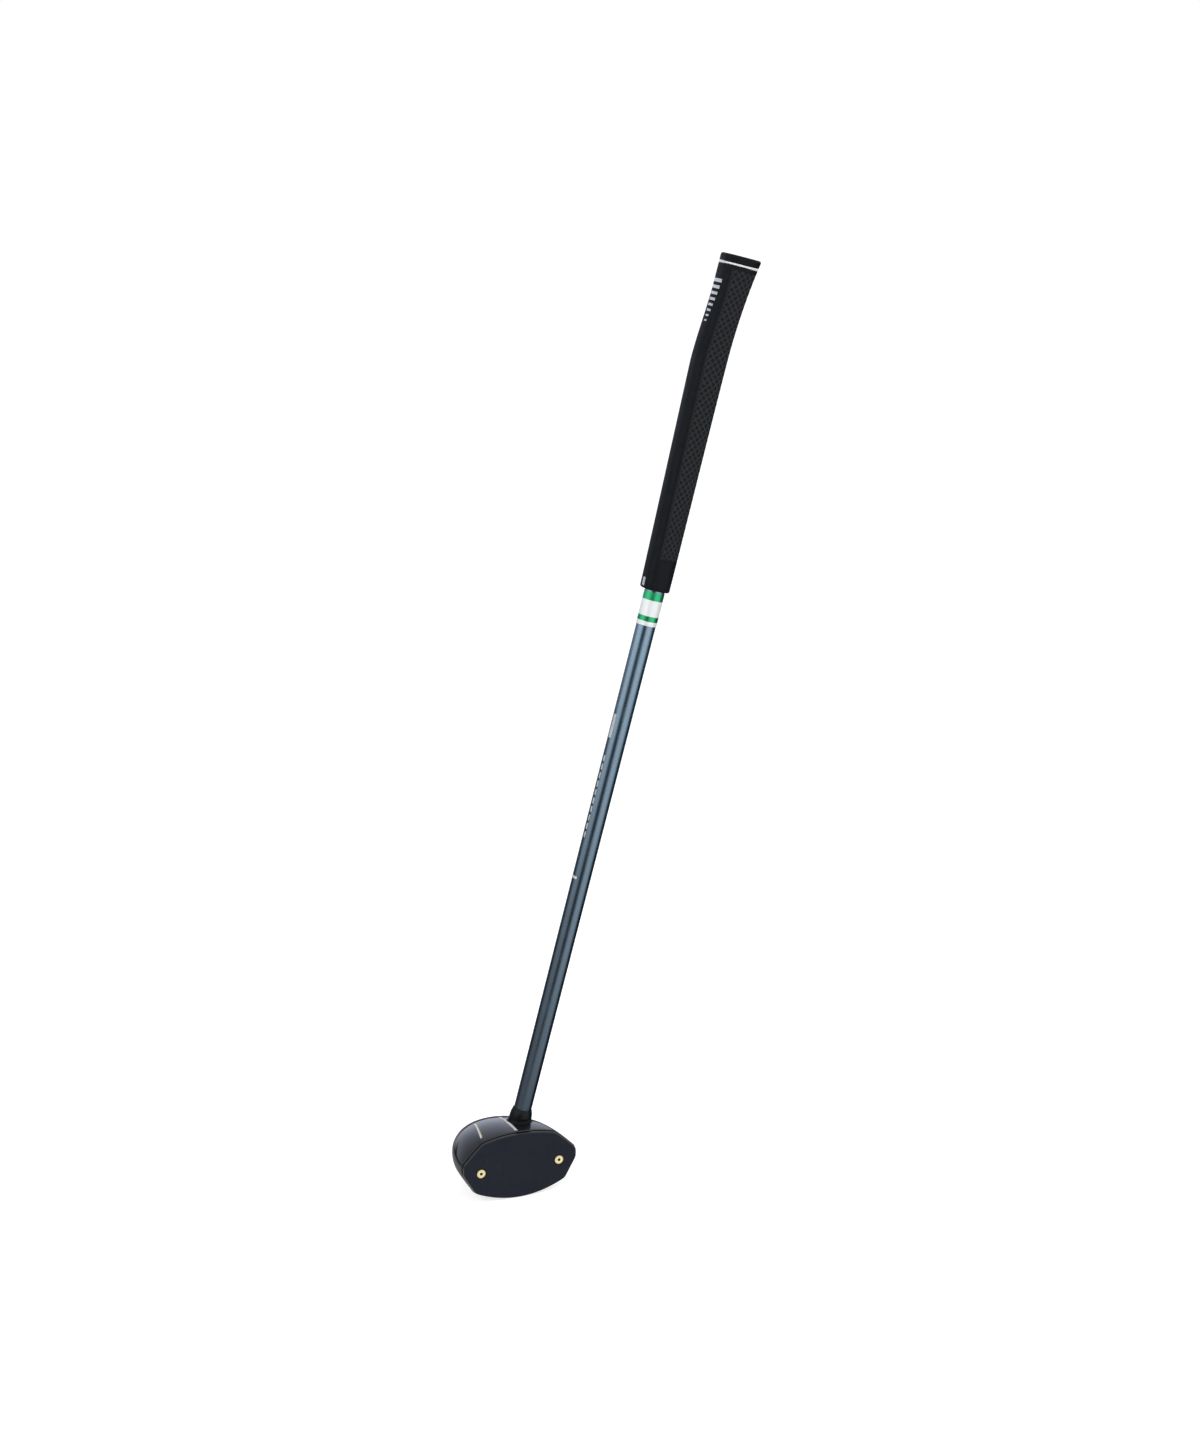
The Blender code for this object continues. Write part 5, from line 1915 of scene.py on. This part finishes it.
    def gloss_only(self, sheet: Sheet) -> tuple[Bench, Socket, Socket, Socket]:
        """Adds a glowing sheet that only gloss shows: it throws no light and no shadow.

        Args:
            sheet: its name and form.

        Returns:
            The bench of its material, the angle in degrees about the upright line, the distance
            from that line, and the height.
        """
        item, bench = self.add_sheet(sheet.name, sheet.grid())
        item.visible_camera = False
        item.visible_diffuse = False
        item.visible_shadow = False
        item.visible_volume_scatter = False
        parts = bench.parts(bench.place())
        turn = bench.maths("DEGREES", bench.maths("ARCTAN2", parts[1], parts[0]))
        flat = bench.add("CombineXYZ", {0: parts[0], 1: parts[1]}).outputs[0]
        return bench, turn, bench.vector("LENGTH", flat), parts[2]

    def light_up(
        self, bench: Bench, sheet: Sheet, tone: Socket, sector: Optional[Socket] = None
    ) -> None:
        """Gives a sheet its glow in place of a surface.

        Args:
            bench: the bench of its material.
            sheet: its name and form.
            tone: how bright it is.
            sector: the tone of the dark sectors that have a cooler tint, if it has any.
        """
        colour = (*sheet.colour, 1.0)
        if sector is not None:
            tinted = tuple(a * b for a, b in zip(sheet.colour, self.cool))
            share = bench.step(sector, self.dark, self.cool_end)
            colour = bench.tint(share, tinted, sheet.colour)
        glow = bench.add("Emission", {"Color": colour, "Strength": tone}).outputs[0]
        bench.fill(bench.tree.nodes["Material Output"], {"Surface": glow})
        bench.tree.nodes.remove(bench.shader)

    def shade(self, bench: Bench, turn: Socket, sector: Span, share: object) -> Socket:
        """The tone of a dark sector: white outside its outer angles, dark between its inner ones.

        Args:
            bench: the bench of the material.
            turn: the angle in degrees.
            sector: its four angles.
            share: how much of the darkness is there, 0 to 1.

        Returns:
            The tone.
        """
        inside = bench.times(bench.between(turn, *sector), share)
        return bench.blend(inside, 1.0, self.dark)

    def paint_floor_reflections(self) -> None:
        """Painted reflections on the floor: glowing sheets that only gloss shows, whose dark
        sectors draw the lines down the shaft.

        A grey sector behind the club paints the rims darker.
        """
        bench, turn, away, _ = self.gloss_only(self.cloths)
        grey = bench.ramp(away, *self.grey_ramp)
        near = bench.blend(bench.between(turn, *self.grey_sector), 1.0, grey)
        left = self.shade(bench, turn, self.left, bench.ramp(away, *self.left_ramp))
        right = self.shade(bench, turn, self.right_rear, bench.step(away, *self.right_fade))
        front = self.shade(bench, turn, self.front, bench.step(away, *self.front_fade))
        share = bench.times(bench.between(away, *self.behind_fade), self.behind_share)
        behind = self.shade(bench, turn, self.behind, share)
        sides = bench.times(left, right)
        # Painted reflection: dark sectors with a cooler tint, seen only in gloss.
        tone = bench.times(near, bench.times(sides, behind, front))
        self.light_up(bench, self.cloths, tone, sides)

    def wall_behind(self) -> None:
        """A painted reflection for the crown: a glowing wall that only gloss shows, darker upward
        and aside.
        """
        bench, turn, _, height = self.gloss_only(self.wall)
        rise = bench.ramp(height, *self.wall_ramp)
        heel = bench.blend(bench.step(turn, *self.heel_fade), self.heel_tone, 1.0)
        grey = bench.times(rise, bench.times(heel, bench.ramp(turn, *self.toe_ramp)))
        pale = bench.blend(bench.step(turn, *self.white_fade), grey, 1.0)
        foot = bench.less(bench.step(height, *self.foot_fade))
        # Painted reflection: its foot is dark at the left, and it glows only for gloss.
        tone = bench.times(pale, self.shade(bench, turn, self.left, foot))
        self.light_up(bench, self.wall, tone)

    def paint_screen_reflections(self) -> None:
        """Painted reflections: a grey glowing screen at the left and a tall dark one by the camera.
        """
        bench, turn, _, height = self.gloss_only(self.screen_left)
        low = bench.blend(bench.step(height, *self.screen_fade), self.screen_tone, 1.0)
        sector = self.shade(bench, turn, self.left, 1.0)
        self.light_up(bench, self.screen_left, bench.times(low, sector), sector)
        # Painted reflection: a dark sheet by the camera, seen only in gloss.
        bench, turn, _, height = self.gloss_only(self.screen_front)
        share = bench.less(bench.step(height, *self.top_fade))
        sector = self.shade(bench, turn, self.front, share)
        self.light_up(bench, self.screen_front, sector, sector)

    def light(self, lamp: Lamp) -> None:
        """Adds a lamp that faces the club and that gloss doesn't show."""
        data = bpy.data.lights.new(lamp.name, "AREA")
        data.shape = "RECTANGLE"
        data.size, data.size_y = lamp.size
        data.energy = lamp.power
        item = bpy.data.objects.new(lamp.name, data)
        item.location = lamp.centre
        item.rotation_mode = "QUATERNION"
        way = Vector(self.aim) - Vector(lamp.centre)
        item.rotation_quaternion = way.to_track_quat("-Z", "Y")
        item.visible_camera = False
        item.visible_glossy = False
        bpy.context.scene.collection.objects.link(item)

    def build(self) -> None:
        """Sets up everything round the club."""
        bpy.context.scene.view_settings.view_transform = "Standard"
        self.camera()
        self.world()
        self.floor()
        for lamp in self.lamps:
            self.light(lamp)
        self.paint_floor_reflections()
        self.wall_behind()
        self.paint_screen_reflections()


def dress_solids(effects: Effects, finishes: Finishes) -> None:
    """Gives the solid nodes that stay in view their finishes.

    Args:
        effects: the shared node groups.
        finishes: the club's finishes.
    """
    kept = {
        "backing_sheet": finishes.sheet,
        "head_weight": finishes.weight,
        "shaft_tip_plug": finishes.plug,
        "grip_tape": finishes.tape,
    }
    for name, finish in kept.items():
        material = finish.dress(effects)
        for place in bpy.data.objects[name].material_slots:
            place.link = "OBJECT"
            place.material = material
        LOG.info("%s: solid with %s", name, material.name)


def main() -> None:
    """Builds the set and the club."""
    logging.basicConfig(level=logging.INFO, format="%(name)s %(message)s")
    Studio().build()
    effects, finishes = Effects(), Finishes()
    dress_solids(effects, finishes)
    form = HeadForm()
    HeadShell(form).build(effects, finishes)
    SightLines(form).build(effects, finishes)
    plate = FacePlate(form)
    plate.build(effects, finishes)
    brass = finishes.screw.dress(effects)
    for side in Side:
        FaceScrew(side, plate).build(brass)
    Shaft().build(effects, finishes)
    Grip(GripForm()).build(effects, finishes)


if __name__ == "__main__":
    main()
